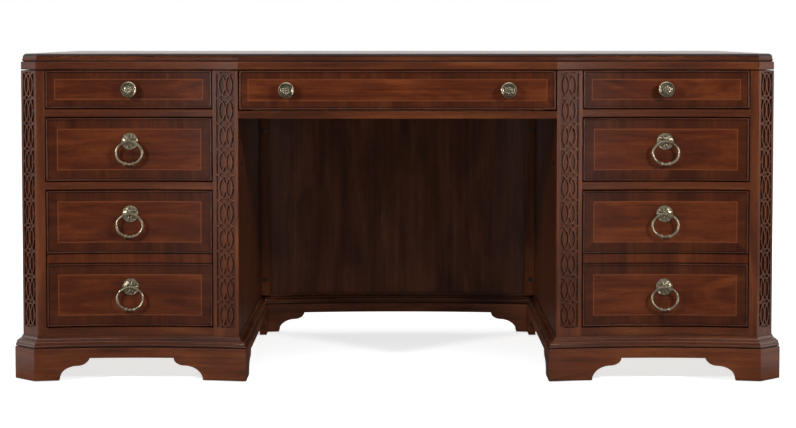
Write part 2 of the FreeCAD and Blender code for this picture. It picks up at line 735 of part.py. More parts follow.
centre_wire = Part.makePolygon([V(p[0], y_cr0, p[1]) for p in centre_plan + centre_plan[:1]])
centre_runner = Part.Face(centre_wire).extrude(V(0, y_cr1 - y_cr0, 0))
save("centre_runners", pair(centre_runner))


# Drawer box: two sides, a back and a bottom held in grooves
def drawer_box(x0, x1, y0, length, z0, height):
    y1 = y0 + length
    zb0 = z0 + BOX_BOTTOM_UP
    zb1 = zb0 + BOX_BOTTOM_T
    floor = box(x0 + BOX_T - BOX_GROOVE, x1 - BOX_T + BOX_GROOVE, y0, y1 - BOX_T, zb0, zb1)
    sides = [box(x0, x0 + BOX_T, y0, y1, z0, z0 + height).cut(floor)]
    sides += [box(x1 - BOX_T, x1, y0, y1, z0, z0 + height).cut(floor)]
    back = box(x0 + BOX_T, x1 - BOX_T, y1 - BOX_T, y1, z0, z0 + height)
    return sides + [back, floor]


# Cock bead round a front, rounded on its nose
def bead_ring(x0, x1, y0, y1, z0, z1):
    ring = box(x0, x1, y0, y1, z0, z1)
    return ring.cut(box(x0 + BEAD_W, x1 - BEAD_W, y0, y1, z0 + BEAD_W, z1 - BEAD_W))


def round_nose(shape, is_nose):
    edges = [e for e in shape.Edges if all(is_nose(v.Point) for v in e.Vertexes)]
    return shape.makeFillet(BEAD_ROUND, edges)


def hollow_bead(x0, x1, z0, z1):
    ring = bead_ring(x0, x1, y_front - 10, y_box, z0, z1)
    ring = ring.common(hollow_drum(hollow_r + BEAD_DEEP, z0, z1))
    ring = ring.cut(hollow_drum(hollow_r - BEAD_PROUD, z0, z1))
    nose_r = hollow_r - BEAD_PROUD
    return round_nose(ring, lambda p: abs(math.hypot(p.x - x_ped, p.y - y_hollow) - nose_r) < 0.01)


def stud_hole(x, z, y):
    return rod((x, y - 1, z), (0, 1, 0), STUD_R, STUD_L + 1)


# Where a flat round foot touches the hollow face first
def seat_y(radius):
    return min(hollow_y(x_drawer - radius), hollow_y(x_drawer + radius))


# Round crown whose centre lies on the axis
def crown(r0, z0, z1):
    radius = (r0 ** 2 + (z1 - z0) ** 2) / (2 * (z1 - z0))
    half = math.asin(r0 / radius) / 2
    return [(radius * math.sin(half), z1 - radius * (1 - math.cos(half))), (0, z1)]


# Round knob with a turned rim, its stud set into the front
def knob(x, y, z):
    r = KNOB_R
    n = KNOB_NECK_R
    f = KNOB_FOOT_R
    k = KNOB_REACH
    h = KNOB_HEAD_T
    start = (0, -STUD_L)
    moves = [[(STUD_R, -STUD_L)], [(STUD_R, 0)], [(f, 0)], [(f, 2)]]
    moves += [quarter((f, 2), (n, 8), False), [(n, k - h)]]
    moves += [[(r - 2, k - h + 4)], quarter((r - 2, k - h + 4), (r, k - h + 6), True), [(r, k - 3.5)]]
    moves += [quarter((r, k - 3.5), (r - 2.5, k - 1), False), [(r - 4, k - 1)], [(r - 4.5, k - 2.5)]]
    moves += [crown(r - 4.5, k - 2.5, k), [(0, -STUD_L)]]
    face = outline_face(V(0, 0, 0), V(1, 0, 0), start, moves)
    solid = face.revolve(V(0, 0, 0), V(0, 0, 1), 360)
    solid.rotate(V(0, 0, 0), V(1, 0, 0), 90)
    solid.translate(V(x, y, z))
    return solid


# Rosette plate with an eye for the ring, its stud set into the front
def pull_plate(x, y, z):
    r = PLATE_R
    t = PLATE_RIM_T
    start = (0, -STUD_L)
    moves = [[(STUD_R, -STUD_L)], [(STUD_R, 0)], [(r, 0)], [(r, t)], [(r - 3, t)]]
    moves += [crown(r - 3, t, PLATE_DOME), [(0, -STUD_L)]]
    face = outline_face(V(0, 0, 0), V(1, 0, 0), start, moves)
    solid = face.revolve(V(0, 0, 0), V(0, 0, 1), 360)
    solid.rotate(V(0, 0, 0), V(1, 0, 0), 90)
    solid.translate(V(x, y, z))
    neck = box(x - EYE_T / 2, x + EYE_T / 2, y - RING_STANDOFF, y - 1, z - EYE_R, z + EYE_R)
    eye = rod((x - EYE_T / 2, y - RING_STANDOFF, z), (1, 0, 0), EYE_R, EYE_T)
    hole = rod((x - EYE_T / 2 - 1, y - RING_STANDOFF, z), (1, 0, 0), RING_ROD / 2 + RING_FIT, EYE_T + 2)
    return solid.fuse([neck, eye]).removeSplitter().cut(hole)


# Part of the ring: a round rod turned along an arc
def ring_arc(x, y, radius, start, sweep):
    t = math.radians(start)
    at = V(x + radius * math.cos(t), y + radius * math.sin(t), 0)
    disc = Part.Face(Part.Wire(Part.makeCircle(RING_ROD / 2, at, V(-math.sin(t), math.cos(t), 0))))
    return disc.revolve(V(x, y, 0), V(0, 0, 1), sweep)


# Oval ring hanging in the eye, with a bead and two collars at the bottom
def pull_ring(x, y, z):
    a = (RING_W - RING_ROD) / 2
    b = (RING_H - RING_ROD) / 2
    c = a - RING_END_R
    d = (c ** 2 - (b - RING_END_R) ** 2) / (2 * (b - RING_END_R))
    turn = math.degrees(math.atan2(d, c))
    wide = 180 - 2 * turn
    arcs = [ring_arc(c, 0, RING_END_R, -turn, 2 * turn), ring_arc(0, -d, b + d, turn, wide)]
    arcs += [ring_arc(-c, 0, RING_END_R, 180 - turn, 2 * turn), ring_arc(0, d, b + d, 180 + turn, wide)]
    balls = [Part.makeSphere(RING_BEAD_R, V(0, -b, 0), V(1, 0, 0))]
    for side in (1, -1):
        u = side * RING_COLLAR_OUT
        v = math.sqrt((b + d) ** 2 - u ** 2)
        balls.append(Part.makeSphere(RING_COLLAR_R, V(u, d - v, 0), V(v, u, 0)))
    solid = arcs[0].fuse(arcs[1:] + balls).removeSplitter()
    solid.rotate(V(0, 0, 0), V(1, 0, 0), 90)
    solid.translate(V(x, y - RING_STANDOFF, z - b))
    return solid


# Top and utility drawers on wooden runners
def plain_drawer(name, z0, z1, box_h, handle):
    f0 = x_open0 + REVEAL
    f1 = x_open1 - REVEAL
    low = z0 + REVEAL
    high = z1 - REVEAL
    front = box(f0, f1, y_front, y_box, low, high).cut(hollow_drum(hollow_r, low, high))
    edge = hollow_bead(f0, f1, low, high)
    ring = bead_ring(f0, f1, y_front - 10, y_box, low, high)
    front = front.cut(ring.common(hollow_drum(hollow_r + BEAD_DEEP, low, high)))
    z_handle = (z0 + z1) / 2 + (PLATE_RISE if handle == "ring" else 0.0)
    y_seat = seat_y(PLATE_R if handle == "ring" else KNOB_FOOT_R)
    front = front.cut(stud_hole(x_drawer, z_handle, y_seat))
    zb = z0 + RUNNER_RISE + RUN_FIT
    boxes = drawer_box(x_open0 + BOX_SIDE_FIT, x_open1 - BOX_SIDE_FIT, y_box, DRAWER_BOX_L, zb, box_h)
    for side, turn in (("right", lambda s: s), ("left", flip_x)):
        save(side + "_" + name + "_front", [turn(front), turn(edge)])
        save(side + "_" + name + "_box", [turn(s) for s in boxes])
        if handle == "ring":
            save(side + "_" + name + "_plate", [turn(pull_plate(x_drawer, y_seat, z_handle))])
            save(side + "_" + name + "_ring", [turn(pull_ring(x_drawer, y_seat, z_handle))])
        else:
            save(side + "_" + name + "_knob", [turn(knob(x_drawer, y_seat, z_handle))])


plain_drawer("top", z_top0, z_frieze, TOP_BOX_H, "knob")
plain_drawer("utility", z_util0, z_util1, UTILITY_BOX_H, "ring")

# File drawer: one tall front made to look like two drawers
f0 = x_open0 + REVEAL
f1 = x_open1 - REVEAL
z_mock0 = z_file0 + UTILITY_OPENING_H
z_mock1 = z_file1 - UTILITY_OPENING_H
low = z_file0 + REVEAL
high = z_file1 - REVEAL
front = box(f0, f1, y_front, y_box, low, high).cut(hollow_drum(hollow_r, low, high))
y_plate = seat_y(PLATE_R)
file_solids = []
plates = []
rings = []
for b0, b1 in ((low, z_mock0 - REVEAL), (z_mock1 + REVEAL, high)):
    file_solids.append(hollow_bead(f0, f1, b0, b1))
    ring = bead_ring(f0, f1, y_front - 10, y_box, b0, b1)
    front = front.cut(ring.common(hollow_drum(hollow_r + BEAD_DEEP, b0, b1)))
    z_handle = (b0 + b1) / 2 + PLATE_RISE
    front = front.cut(stud_hole(x_drawer, z_handle, y_plate))
    plates.append(pull_plate(x_drawer, y_plate, z_handle))
    rings.append(pull_ring(x_drawer, y_plate, z_handle))
for g0 in (z_mock0 - REVEAL, z_mock1 + REVEAL - MOCK_GROOVE_W):
    groove = box(f0, f1, y_front, y_box, g0, g0 + MOCK_GROOVE_W)
    front = front.cut(groove.common(hollow_drum(hollow_r + MOCK_GROOVE_D, g0, g0 + MOCK_GROOVE_W)))
b0 = x_open0 + SLIDE_SPACE
b1 = x_open1 - SLIDE_SPACE
file_box = drawer_box(b0, b1, y_box, FILE_BOX_L, z_file0 + FILE_BOX_UP, FILE_BOX_H)
for side, turn in (("right", lambda s: s), ("left", flip_x)):
    save(side + "_file_front", [turn(front)] + [turn(s) for s in file_solids])
    save(side + "_file_box", [turn(s) for s in file_box])
    save(side + "_file_plates", [turn(s) for s in plates])
    save(side + "_file_lower_ring", [turn(rings[0])])
    save(side + "_file_upper_ring", [turn(rings[1])])


# File slides: three nested channels on each side of the box
def channel(x_web, x_lip, height, y0):
    h = height / 2
    step = math.copysign(SLIDE_T, x_lip - x_web)
    plan = [(x_web, -h), (x_lip, -h), (x_lip, SLIDE_T - h), (x_web + step, SLIDE_T - h)]
    plan += [(x_web + step, h - SLIDE_T), (x_lip, h - SLIDE_T), (x_lip, h), (x_web, h)]
    wire = Part.makePolygon([V(p[0], y0, p[1] + z_slide) for p in plan + plan[:1]])
    return Part.Face(wire).extrude(V(0, SLIDE_L, 0))


def slide_set(x_wall, x_drawer_side):
    s = math.copysign(1.0, x_drawer_side - x_wall)
    middle_h = SLIDE_H - 2 * (SLIDE_T + SLIDE_FIT)
    inner_h = middle_h - 2 * (SLIDE_T + SLIDE_FIT)
    x_mid = x_wall + s * (SLIDE_T + SLIDE_FIT)
    lip = x_wall + s * SLIDE_LIP
    inner_lip = x_mid + s * (SLIDE_T + SLIDE_FIT)
    track = channel(x_wall, lip, SLIDE_H, y_rail)
    middle = channel(x_mid, lip, middle_h, y_rail)
    inner = channel(x_drawer_side, inner_lip, inner_h, y_rail)
    return track, middle, inner


slides = [slide_set(x_open0, b0), slide_set(x_open1, b1)]
save("file_slide_tracks", [s for t in slides for s in pair(t[0])])
for side, turn in (("right", lambda s: s), ("left", flip_x)):
    save(side + "_slide_middle", [turn(t[1]) for t in slides])
    save(side + "_slide_inner", [turn(t[2]) for t in slides])

# Centre drawer with a flat front
c1 = x_knee - REVEAL - 1.0
low = z_centre0 + REVEAL + 1.0
high = z_frieze - REVEAL
front = box(-c1, c1, y_front, y_front + CENTRE_FRONT_T, low, high)
ring = bead_ring(-c1, c1, y_front - BEAD_PROUD, y_front + BEAD_DEEP, low, high)
front = front.cut(ring)
edge = round_nose(ring, lambda p: abs(p.y - (y_front - BEAD_PROUD)) < 0.01)
z_knob = (low + high) / 2
knobs = [knob(x, y_front, z_knob) for x in (-KNOB_SPREAD / 2, KNOB_SPREAD / 2)]
for x in (-KNOB_SPREAD / 2, KNOB_SPREAD / 2):
    front = front.cut(stud_hole(x, z_knob, y_front))
save("centre_front", [front, edge])
cb = x_guide - GUIDE_FIT
centre_box = drawer_box(-cb, cb, y_front + CENTRE_FRONT_T, DRAWER_BOX_L, z_cr + RUN_FIT, CENTRE_BOX_H)
save("centre_box", centre_box)
save("centre_knobs", knobs)
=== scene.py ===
import json
import math

import bpy
from bpy.props import FloatProperty, FloatVectorProperty, IntProperty, PointerProperty
from mathutils import Matrix, Vector

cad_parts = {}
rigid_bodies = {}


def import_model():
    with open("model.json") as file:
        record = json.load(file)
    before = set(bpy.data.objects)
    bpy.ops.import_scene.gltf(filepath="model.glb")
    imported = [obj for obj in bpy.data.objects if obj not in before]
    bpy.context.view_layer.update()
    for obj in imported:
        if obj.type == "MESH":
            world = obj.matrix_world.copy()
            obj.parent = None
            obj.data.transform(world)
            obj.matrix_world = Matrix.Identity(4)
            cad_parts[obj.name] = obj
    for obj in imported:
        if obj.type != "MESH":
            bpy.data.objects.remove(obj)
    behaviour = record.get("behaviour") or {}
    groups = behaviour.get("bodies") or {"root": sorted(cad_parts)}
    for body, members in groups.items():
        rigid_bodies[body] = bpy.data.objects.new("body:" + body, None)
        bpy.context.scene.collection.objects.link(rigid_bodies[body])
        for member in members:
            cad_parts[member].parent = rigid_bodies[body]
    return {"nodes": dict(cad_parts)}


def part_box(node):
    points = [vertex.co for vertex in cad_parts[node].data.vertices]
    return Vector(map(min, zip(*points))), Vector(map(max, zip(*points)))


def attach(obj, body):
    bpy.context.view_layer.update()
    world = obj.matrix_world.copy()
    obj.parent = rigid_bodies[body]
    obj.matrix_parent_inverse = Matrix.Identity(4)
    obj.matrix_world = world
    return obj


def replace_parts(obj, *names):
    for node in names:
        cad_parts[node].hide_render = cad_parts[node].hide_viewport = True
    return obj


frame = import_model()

bl_info = {
    "name": "Pedestal desk",
    "version": (1, 0, 0),
    "blender": (4, 2, 0),
    "location": "View3D > Sidebar > Desk",
    "description": "Dresses the pedestal desk: wood finish, inlaid drawer fronts, brass knobs and rings",
    "category": "Object",
}

SIDES = ("right", "left")
WHITE = (1.0, 1.0, 1.0)
START_UP = ("Cube", "Light", "Camera")
for start_object in [o for o in bpy.data.objects if o.name in START_UP]:
    bpy.data.objects.remove(start_object)
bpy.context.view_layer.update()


# Kinds of setting

def colour(name, description, default):
    return FloatVectorProperty(name=name, description=description, default=default, subtype="COLOR",
                               size=3, min=0.0, max=1.0)


def length(name, description, default):
    return FloatProperty(name=name, description=description, default=default, min=0.0, unit="LENGTH",
                         precision=4)


def share(name, description, default):
    return FloatProperty(name=name, description=description, default=default, min=0.0, max=1.0,
                         subtype="FACTOR")


def power(name, description, default):
    return FloatProperty(name=name, description=description, default=default, min=0.0, unit="POWER")


# Settings

class DeskFinish(bpy.types.PropertyGroup):
    dark: colour("Dark grain", "Darkest lines of the wood", (0.036, 0.0070, 0.0023))
    mid: colour("Ground", "Ground colour of the wood", (0.080, 0.0165, 0.0045))
    light: colour("Light grain", "Lightest lines of the wood", (0.140, 0.0340, 0.0088))
    string: colour("String", "Inlaid string in the drawer fronts", (0.165, 0.0460, 0.0160))
    inner: colour("Inner wood", "Wood of the drawer boxes and runners", (0.42, 0.27, 0.14))
    brass: colour("Brass", "Aged brass of the handles", (0.56, 0.48, 0.335))
    patina: colour("Patina", "Darkened brass in the hollows", (0.070, 0.058, 0.040))
    steel: colour("Slide steel", "Steel of the file drawer slides", (0.55, 0.56, 0.58))
    bolt: colour("Bolt steel", "Blackened bolt heads", (0.10, 0.10, 0.105))
    plastic: colour("Glides", "Glides under the feet", (0.02, 0.02, 0.02))
    roughness: share("Roughness", "Roughness of the lacquer", 0.33)
    # Painted shade: share of the wood's colour left in gaps and inside corners
    painted_hollow_shade: share("Painted hollow shade", "Share of the wood's colour left in gaps and inside corners", 0.15)
    ease: length("Eased edge", "Radius that the lacquered edges look rounded by", 0.0011)
    small_inset: length("Small inset", "String inset on the small and centre drawers", 0.0195)
    large_inset: length("Large inset", "String inset on the other drawers", 0.0250)
    bead: length("Bead", "Width of the bead round a drawer front", 0.0035)
    string_width: length("String width", "Width of the inlaid string", 0.0024)


class DeskHandles(bpy.types.PropertyGroup):
    knob_reach: length("Knob reach", "Reach of a knob in front of its seat", 0.022)
    knob_radius: length("Knob radius", "Radius of a knob's rim", 0.0189)
    plate_radius: length("Plate radius", "Radius of a rosette plate", 0.0198)
    plate_dome: length("Plate dome", "Height of a rosette plate's dome", 0.0062)
    standoff: length("Stand-off", "Distance from the seat to the ring's rod", 0.014)
    ring_half_width: length("Ring half width", "Half the ring's width, to the middle of its rod", 0.031)
    ring_half_height: length("Ring half height", "Half the ring's height, to the middle of its rod", 0.027)
    ring_end: length("Ring end radius", "Radius of the ring's two ends", 0.024)
    rod: length("Rod radius", "Radius of the ring's rod", 0.0029)
    petals: IntProperty(name="Petals", description="Petals of a rosette plate", default=10, min=4, max=24)


class DeskStage(bpy.types.PropertyGroup):
    camera_x: length("Camera right", "Camera to the right of the middle", 0.0012)
    camera_back: length("Camera back", "Camera in front of the middle of the desk", 5.335)
    camera_up: length("Camera up", "Camera above the floor", 0.823)
    pitch: FloatProperty(name="Pitch", description="Downward tilt of the camera", default=math.radians(3.0),
                         unit="ROTATION")
    lens: FloatProperty(name="Lens", description="Focal length", default=93.9, min=1.0, unit="CAMERA")
    shift_y: FloatProperty(name="Shift up", description="Upward shift of the lens", default=-0.0887)
    side_power: power("Side lights", "Power of each side light", 60.0)
    top_power: power("Top light", "Power of the light above", 32.0)
    front_power: power("Front light", "Power of the light in front", 2.0)
    glint_power: power("Glints", "Power of the two low lights that only brighten gloss", 16.0)
    back_power: power("Back light", "Power of the light behind", 45.0)
    knee_power: power("Kneehole light", "Power of the light in the kneehole", 0.9)
    bounce: share("Bounce", "Light that the floor gives back", 0.18)
    fill: share("Fill", "Strength of the light from all round", 0.10)


# Shader nodes

# Sockets of a Mix node by the type of its data: first input, second input, result
MIX_SOCKETS = {"FLOAT": (2, 3, 0), "VECTOR": (4, 5, 1), "RGBA": (6, 7, 2)}
BEVEL_SAMPLES = 4
HOLLOW_SAMPLES = 6


class NodeTree:
    def __init__(self, tree):
        self.nodes = tree.nodes
        self.links = tree.links

    # Link a socket to another, or set its value. A colour of three numbers gets full alpha
    def put(self, socket, value):
        if isinstance(value, bpy.types.NodeSocket):
            self.links.new(value, socket)
            return
        if hasattr(value, "__len__"):
            value = tuple(value)
            if socket.type == "RGBA" and len(value) == 3:
                value += (1.0,)
        socket.default_value = value

    def calc(self, operation, *values):
        node = self.nodes.new("ShaderNodeMath")
        node.operation = operation
        for socket, value in zip(node.inputs, values):
            self.put(socket, value)
        return node.outputs[0]

    def vector_calc(self, operation, *values):
        node = self.nodes.new("ShaderNodeVectorMath")
        node.operation = operation
        for socket, value in zip(node.inputs, values):
            self.put(socket, value)
        return node.outputs["Value" if operation == "LENGTH" else "Vector"]

    def split(self, vector):
        node = self.nodes.new("ShaderNodeSeparateXYZ")
        self.put(node.inputs[0], vector)
        return tuple(node.outputs)

    def combined(self, x, y, z):
        node = self.nodes.new("ShaderNodeCombineXYZ")
        for socket, value in zip(node.inputs, (x, y, z)):
            self.put(socket, value)
        return node.outputs[0]

    def fit(self, value, low, high, to_low=0.0, to_high=1.0):
        node = self.nodes.new("ShaderNodeMapRange")
        for socket, number in zip(node.inputs, (value, low, high, to_low, to_high)):
            self.put(socket, number)
        return node.outputs[0]

    def mix(self, factor, first, second, data="RGBA", blend="MIX"):
        node = self.nodes.new("ShaderNodeMix")
        node.data_type = data
        node.blend_type = blend
        first_input, second_input, result = MIX_SOCKETS[data]
        self.put(node.inputs[0], factor)
        self.put(node.inputs[first_input], first)
        self.put(node.inputs[second_input], second)
        return node.outputs[result]


class Shader(NodeTree):
    def __init__(self, name):
        self.material = bpy.data.materials.new(name)
        self.material.use_nodes = True
        super().__init__(self.material.node_tree)
        self.nodes.clear()
        output = self.nodes.new("ShaderNodeOutputMaterial")
        self.bsdf = self.nodes.new("ShaderNodeBsdfPrincipled")
        self.links.new(self.bsdf.outputs["BSDF"], output.inputs["Surface"])
        self.coords = self.nodes.new("ShaderNodeTexCoord").outputs["Object"]

    def noise(self, vector, scale=1.0, detail=2.0, roughness=0.5, distortion=0.0):
        node = self.nodes.new("ShaderNodeTexNoise")
        self.put(node.inputs["Vector"], vector)
        self.put(node.inputs["Scale"], scale)
        self.put(node.inputs["Detail"], detail)
        self.put(node.inputs["Roughness"], roughness)
        self.put(node.inputs["Distortion"], distortion)
        return node.outputs[0]

    def ramp(self, value, places, shades):
        node = self.nodes.new("ShaderNodeValToRGB")
        self.put(node.inputs[0], value)
        elements = node.color_ramp.elements
        while len(elements) < len(places):
            elements.new(places[-1])
        for element, place, shade in zip(elements, places, shades):
            element.position = place
            element.color = tuple(shade) + (1.0,)
        return node.outputs[0]

    def times(self, shade, tint):
        return self.mix(1.0, shade, tint, blend="MULTIPLY")

    def dimmed(self, shade, level):
        return self.times(shade, self.combined(level, level, level))

    def tinted(self, where, shade, tint):
        return self.mix(where, shade, self.times(shade, tint))

    def eased(self, radius):
        node = self.nodes.new("ShaderNodeBevel")
        node.samples = BEVEL_SAMPLES
        self.put(node.inputs["Radius"], radius)
        return node.outputs[0]

    # Near 0 deep in a hollow, 1 on an open face
    def hollow(self, distance):
        node = self.nodes.new("ShaderNodeAmbientOcclusion")
        node.samples = HOLLOW_SAMPLES
        self.put(node.inputs["Distance"], distance)
        return node.outputs["AO"]

    def finish(self, **values):
        for name, value in values.items():
            self.put(self.bsdf.inputs[name.replace("_", " ")], value)
        return self.material


# Wood

# Axes that the lines of the wood run along. Level boards turn corners, so theirs run along X and Y
RUN_ACROSS = (1, 0, 0)
RUN_LEVEL = (1, 1, 0)
RUN_UPRIGHT = (0, 0, 1)

# Layers of noise: scale along the lines and scale across them
CLOUD_SCALE = (3.4, 15.0)
STREAK_SCALE = (2.2, 85.0)
FINE_SCALE = (9.0, 420.0)
PORE_SCALE = (42.0, 1300.0)
CLOUD_SHARE = 0.50
STREAK_SHARE = 0.34
FINE_SHARE = 0.16
CLOUD_SWIRL = 0.9
STREAK_SWIRL = 0.15
GRAIN_MIDDLE = 0.5
GRAIN_PLACES = (0.36, 0.50, 0.655)
PORE_PLACES = (0.30, 0.44)
PORE_SHADE = (0.62, 0.58, 0.56)

# Solid boards differ from the veneer of the drawer fronts by these shares of red, green and blue
SOLID_CAST = (0.93, 1.09, 1.22)

WOOD_GLOSS = 0.3
GLOSS_RANGE = (0.3, 0.7)
ROUGHNESS_SPREAD = 0.05
# Painted shade in gaps and hollows: how far the hollow test reaches, and the span of its value that darkens
PAINTED_SHADE_REACH = 0.012
PAINTED_SHADE_RANGE = (0.15, 0.88)

# Z of the normals, and its spread, on faces that slope as a moulded edge does, which get painted shade
MOULDED_SLOPE = 0.62
MOULDED_SPREAD = 0.36


# Colour of wood whose lines run along the axes marked 1 in run, and the grain value that it comes from
def wood_colour(shader, vector, run, finish, figure, tone, contrast=1.0):
    def stretched(scale):
        along, across = scale
        return shader.vector_calc("MULTIPLY", vector, tuple(along if axis else across for axis in run))

    swirl = CLOUD_SWIRL * figure
    cloud = shader.noise(stretched(CLOUD_SCALE), detail=3.0, roughness=0.55, distortion=swirl)
    streak = shader.noise(stretched(STREAK_SCALE), detail=5.0, roughness=0.62, distortion=STREAK_SWIRL)
    fine = shader.noise(stretched(FINE_SCALE), detail=3.0, roughness=0.6)
    pore = shader.noise(stretched(PORE_SCALE), detail=1.0)
    grain = shader.calc("ADD", shader.calc("MULTIPLY", cloud, CLOUD_SHARE),
                        shader.calc("MULTIPLY", streak, STREAK_SHARE))
    grain = shader.calc("ADD", grain, shader.calc("MULTIPLY", fine, FINE_SHARE))
    grain = shader.calc("SUBTRACT", grain, GRAIN_MIDDLE)
    grain = shader.calc("MULTIPLY_ADD", grain, contrast, GRAIN_MIDDLE)
    shades = [[c * t for c, t in zip(shade, tone)] for shade in (finish.dark, finish.mid, finish.light)]
    flecks = shader.ramp(pore, PORE_PLACES, (PORE_SHADE, WHITE))
    return shader.times(shader.ramp(grain, GRAIN_PLACES, shades), flecks), grain


# Lacquer over a shade of wood, darkened by painted shade in gaps, hollows and inside corners
def lacquer(shader, shade, grain, finish, gloss, painted_hollow_shade=None, duller=0.0):
    if painted_hollow_shade is None:
        painted_hollow_shade = finish.painted_hollow_shade
    rough = finish.roughness + duller
    rough = shader.fit(grain, *GLOSS_RANGE, rough + ROUGHNESS_SPREAD, rough - ROUGHNESS_SPREAD)
    # Painted shade: the wood is darkened where it lies in a gap, hollow or inside corner
    level = shader.fit(shader.hollow(PAINTED_SHADE_REACH), *PAINTED_SHADE_RANGE, painted_hollow_shade, 1.0)
    return shader.finish(Base_Color=shader.dimmed(shade, level), Roughness=rough,
                         Normal=shader.eased(finish.ease), Specular_IOR_Level=gloss)


# Solid wood. An offset keeps pieces from sharing one figure. An edge level below 1 darkens moulded edges
# with painted shade, chosen by the direction that their faces point
def wood(name, run, finish, figure=1.0, tone=1.0, offset=(0.0, 0.0, 0.0), gloss=WOOD_GLOSS, edge=1.0,
         painted_hollow_shade=None, duller=0.0):
    shader = Shader(name)
    vector = shader.vector_calc("ADD", shader.coords, offset)
    shade, grain = wood_colour(shader, vector, run, finish, figure, [tone * c for c in SOLID_CAST])
    if edge < 1.0:
        # Painted shade on faces that slope up and forward, as a moulded edge does
        normal = shader.nodes.new("ShaderNodeNewGeometry").outputs["True Normal"]
        moulded = shader.calc("COMPARE", shader.split(normal)[2], MOULDED_SLOPE, MOULDED_SPREAD)
        shade = shader.dimmed(shade, shader.fit(moulded, 0.0, 1.0, 1.0, edge))
    return lacquer(shader, shade, grain, finish, gloss, painted_hollow_shade, duller)


# Drawer fronts

FRONT_FIGURE = 1.6
SIDE_FRONT_TONE = 0.96
CENTRE_FRONT_TONE = 1.15
BORDER_OFFSET = 3.0
BORDER_CONTRAST = 0.8
BORDER_TINT = (0.66, 0.72, 0.86)
STRING_STRENGTH = 0.60
# Painted highlight on the bead, and painted shade at its inner foot
BEAD_PAINTED_HIGHLIGHT = (1.35, 1.35, 1.35)
BEAD_FOOT = 0.0008
BEAD_FOOT_PAINTED_SHADE = (0.35, 0.35, 0.35)
FIELD_GLOSS = 0.2
BEAD_GLOSS = 0.45


# A figured field, a string, a border with its grain square to the edge, and a bead with a painted highlight
# and a line of painted shade at its inner foot. Fronts on the left and right share one material. A fold
# shows two panels, whose middles lie that far above and below the front's
def inlaid(name, finish, x_middle, z_middle, half_width, half_height, inset, fold=0.0, tone=1.0):
    shader = Shader(name)
    x, y, z = shader.split(shader.coords)
    across = shader.calc("ABSOLUTE", x)
    if x_middle:
        across = shader.calc("ABSOLUTE", shader.calc("SUBTRACT", across, x_middle))
    up = shader.calc("SUBTRACT", z, z_middle)
    if fold:
        up = shader.calc("SUBTRACT", shader.calc("ABSOLUTE", up), fold)
    from_side = shader.calc("SUBTRACT", half_width, across)
    from_end = shader.calc("SUBTRACT", half_height, shader.calc("ABSOLUTE", up))
    edge = shader.calc("MINIMUM", from_side, from_end)
    border = shader.calc("LESS_THAN", edge, inset)
    upright = shader.calc("MULTIPLY", border, shader.calc("LESS_THAN", from_end, from_side))
    crosswise = shader.combined(shader.calc("ADD", z, BORDER_OFFSET), y, x)
    vector = shader.mix(upright, shader.coords, crosswise, data="VECTOR")
    contrast = shader.fit(border, 0.0, 1.0, 1.0, BORDER_CONTRAST)
    tones = (tone, tone, tone)
    shade, grain = wood_colour(shader, vector, RUN_ACROSS, finish, FRONT_FIGURE, tones, contrast)
    on_panel = shader.calc("GREATER_THAN", edge, 0.0)
    shade = shader.tinted(shader.calc("MULTIPLY", border, on_panel), shade, BORDER_TINT)
    half_string = finish.string_width / 2
    string = shader.calc("COMPARE", edge, inset + half_string, half_string)
    shade = shader.mix(shader.calc("MULTIPLY", string, STRING_STRENGTH), shade, finish.string)
    bead = shader.calc("COMPARE", edge, finish.bead / 2, finish.bead / 2)
    # Painted highlight: the bead is lightened
    shade = shader.tinted(bead, shade, BEAD_PAINTED_HIGHLIGHT)
    # Painted shade: a dark line at the bead's inner foot
    foot = shader.calc("COMPARE", edge, finish.bead + BEAD_FOOT, BEAD_FOOT)
    shade = shader.tinted(foot, shade, BEAD_FOOT_PAINTED_SHADE)
    return lacquer(shader, shade, grain, finish, shader.fit(bead, 0.0, 1.0, FIELD_GLOSS, BEAD_GLOSS))


# Plain materials

INNER_SCALE = (130.0, 4.0, 130.0)
INNER_PLACES = (0.3, 0.7)
INNER_DARK = 0.82
INNER_LIGHT = 1.12
INNER_ROUGHNESS = 0.5
GLIDE_ROUGHNESS = 0.5
BOLT_ROUGHNESS = 0.4
SLIDE_ROUGHNESS = 0.35


def inner_wood(finish):
    shader = Shader("inner wood")
    vector = shader.vector_calc("MULTIPLY", shader.coords, INNER_SCALE)
    lines = shader.noise(vector, detail=4.0, roughness=0.6)
    dark = [c * INNER_DARK for c in finish.inner]
    light = [c * INNER_LIGHT for c in finish.inner]
    shade = shader.ramp(lines, INNER_PLACES, (dark, light))
    return shader.finish(Base_Color=shade, Roughness=INNER_ROUGHNESS)


def plain(name, shade, roughness, metallic=1.0):
    return Shader(name).finish(Base_Color=tuple(shade), Roughness=roughness, Metallic=metallic)


# Brass

SPOT_SCALE = 700.0
SPOT_PLACES = (0.35, 0.65)
SPOT_DARK = 0.80
SPOT_LIGHT = 1.08
SPOT_RANGE = (0.3, 0.7)
BRASS_ROUGHEST = 0.35
BRASS_SMOOTHEST = 0.31
PATINA_REACH = 0.003
PATINA_RANGE = (0.35, 0.80)


def aged_brass(finish):
    shader = Shader("aged brass")
    spots = shader.noise(shader.coords, scale=SPOT_SCALE)
    dark = [c * SPOT_DARK for c in finish.brass]
    light = [c * SPOT_LIGHT for c in finish.brass]
    worn = shader.fit(shader.hollow(PATINA_REACH), *PATINA_RANGE)
    shade = shader.mix(worn, finish.patina, shader.ramp(spots, SPOT_PLACES, (dark, light)))
    rough = shader.fit(spots, *SPOT_RANGE, BRASS_ROUGHEST, BRASS_SMOOTHEST)
    return shader.finish(Base_Color=shade, Roughness=rough, Metallic=1.0)


# Modelling helpers

SMOOTH_ANGLE = math.radians(40)
TO_FRONT = Matrix.Rotation(math.pi / 2, 4, "X")


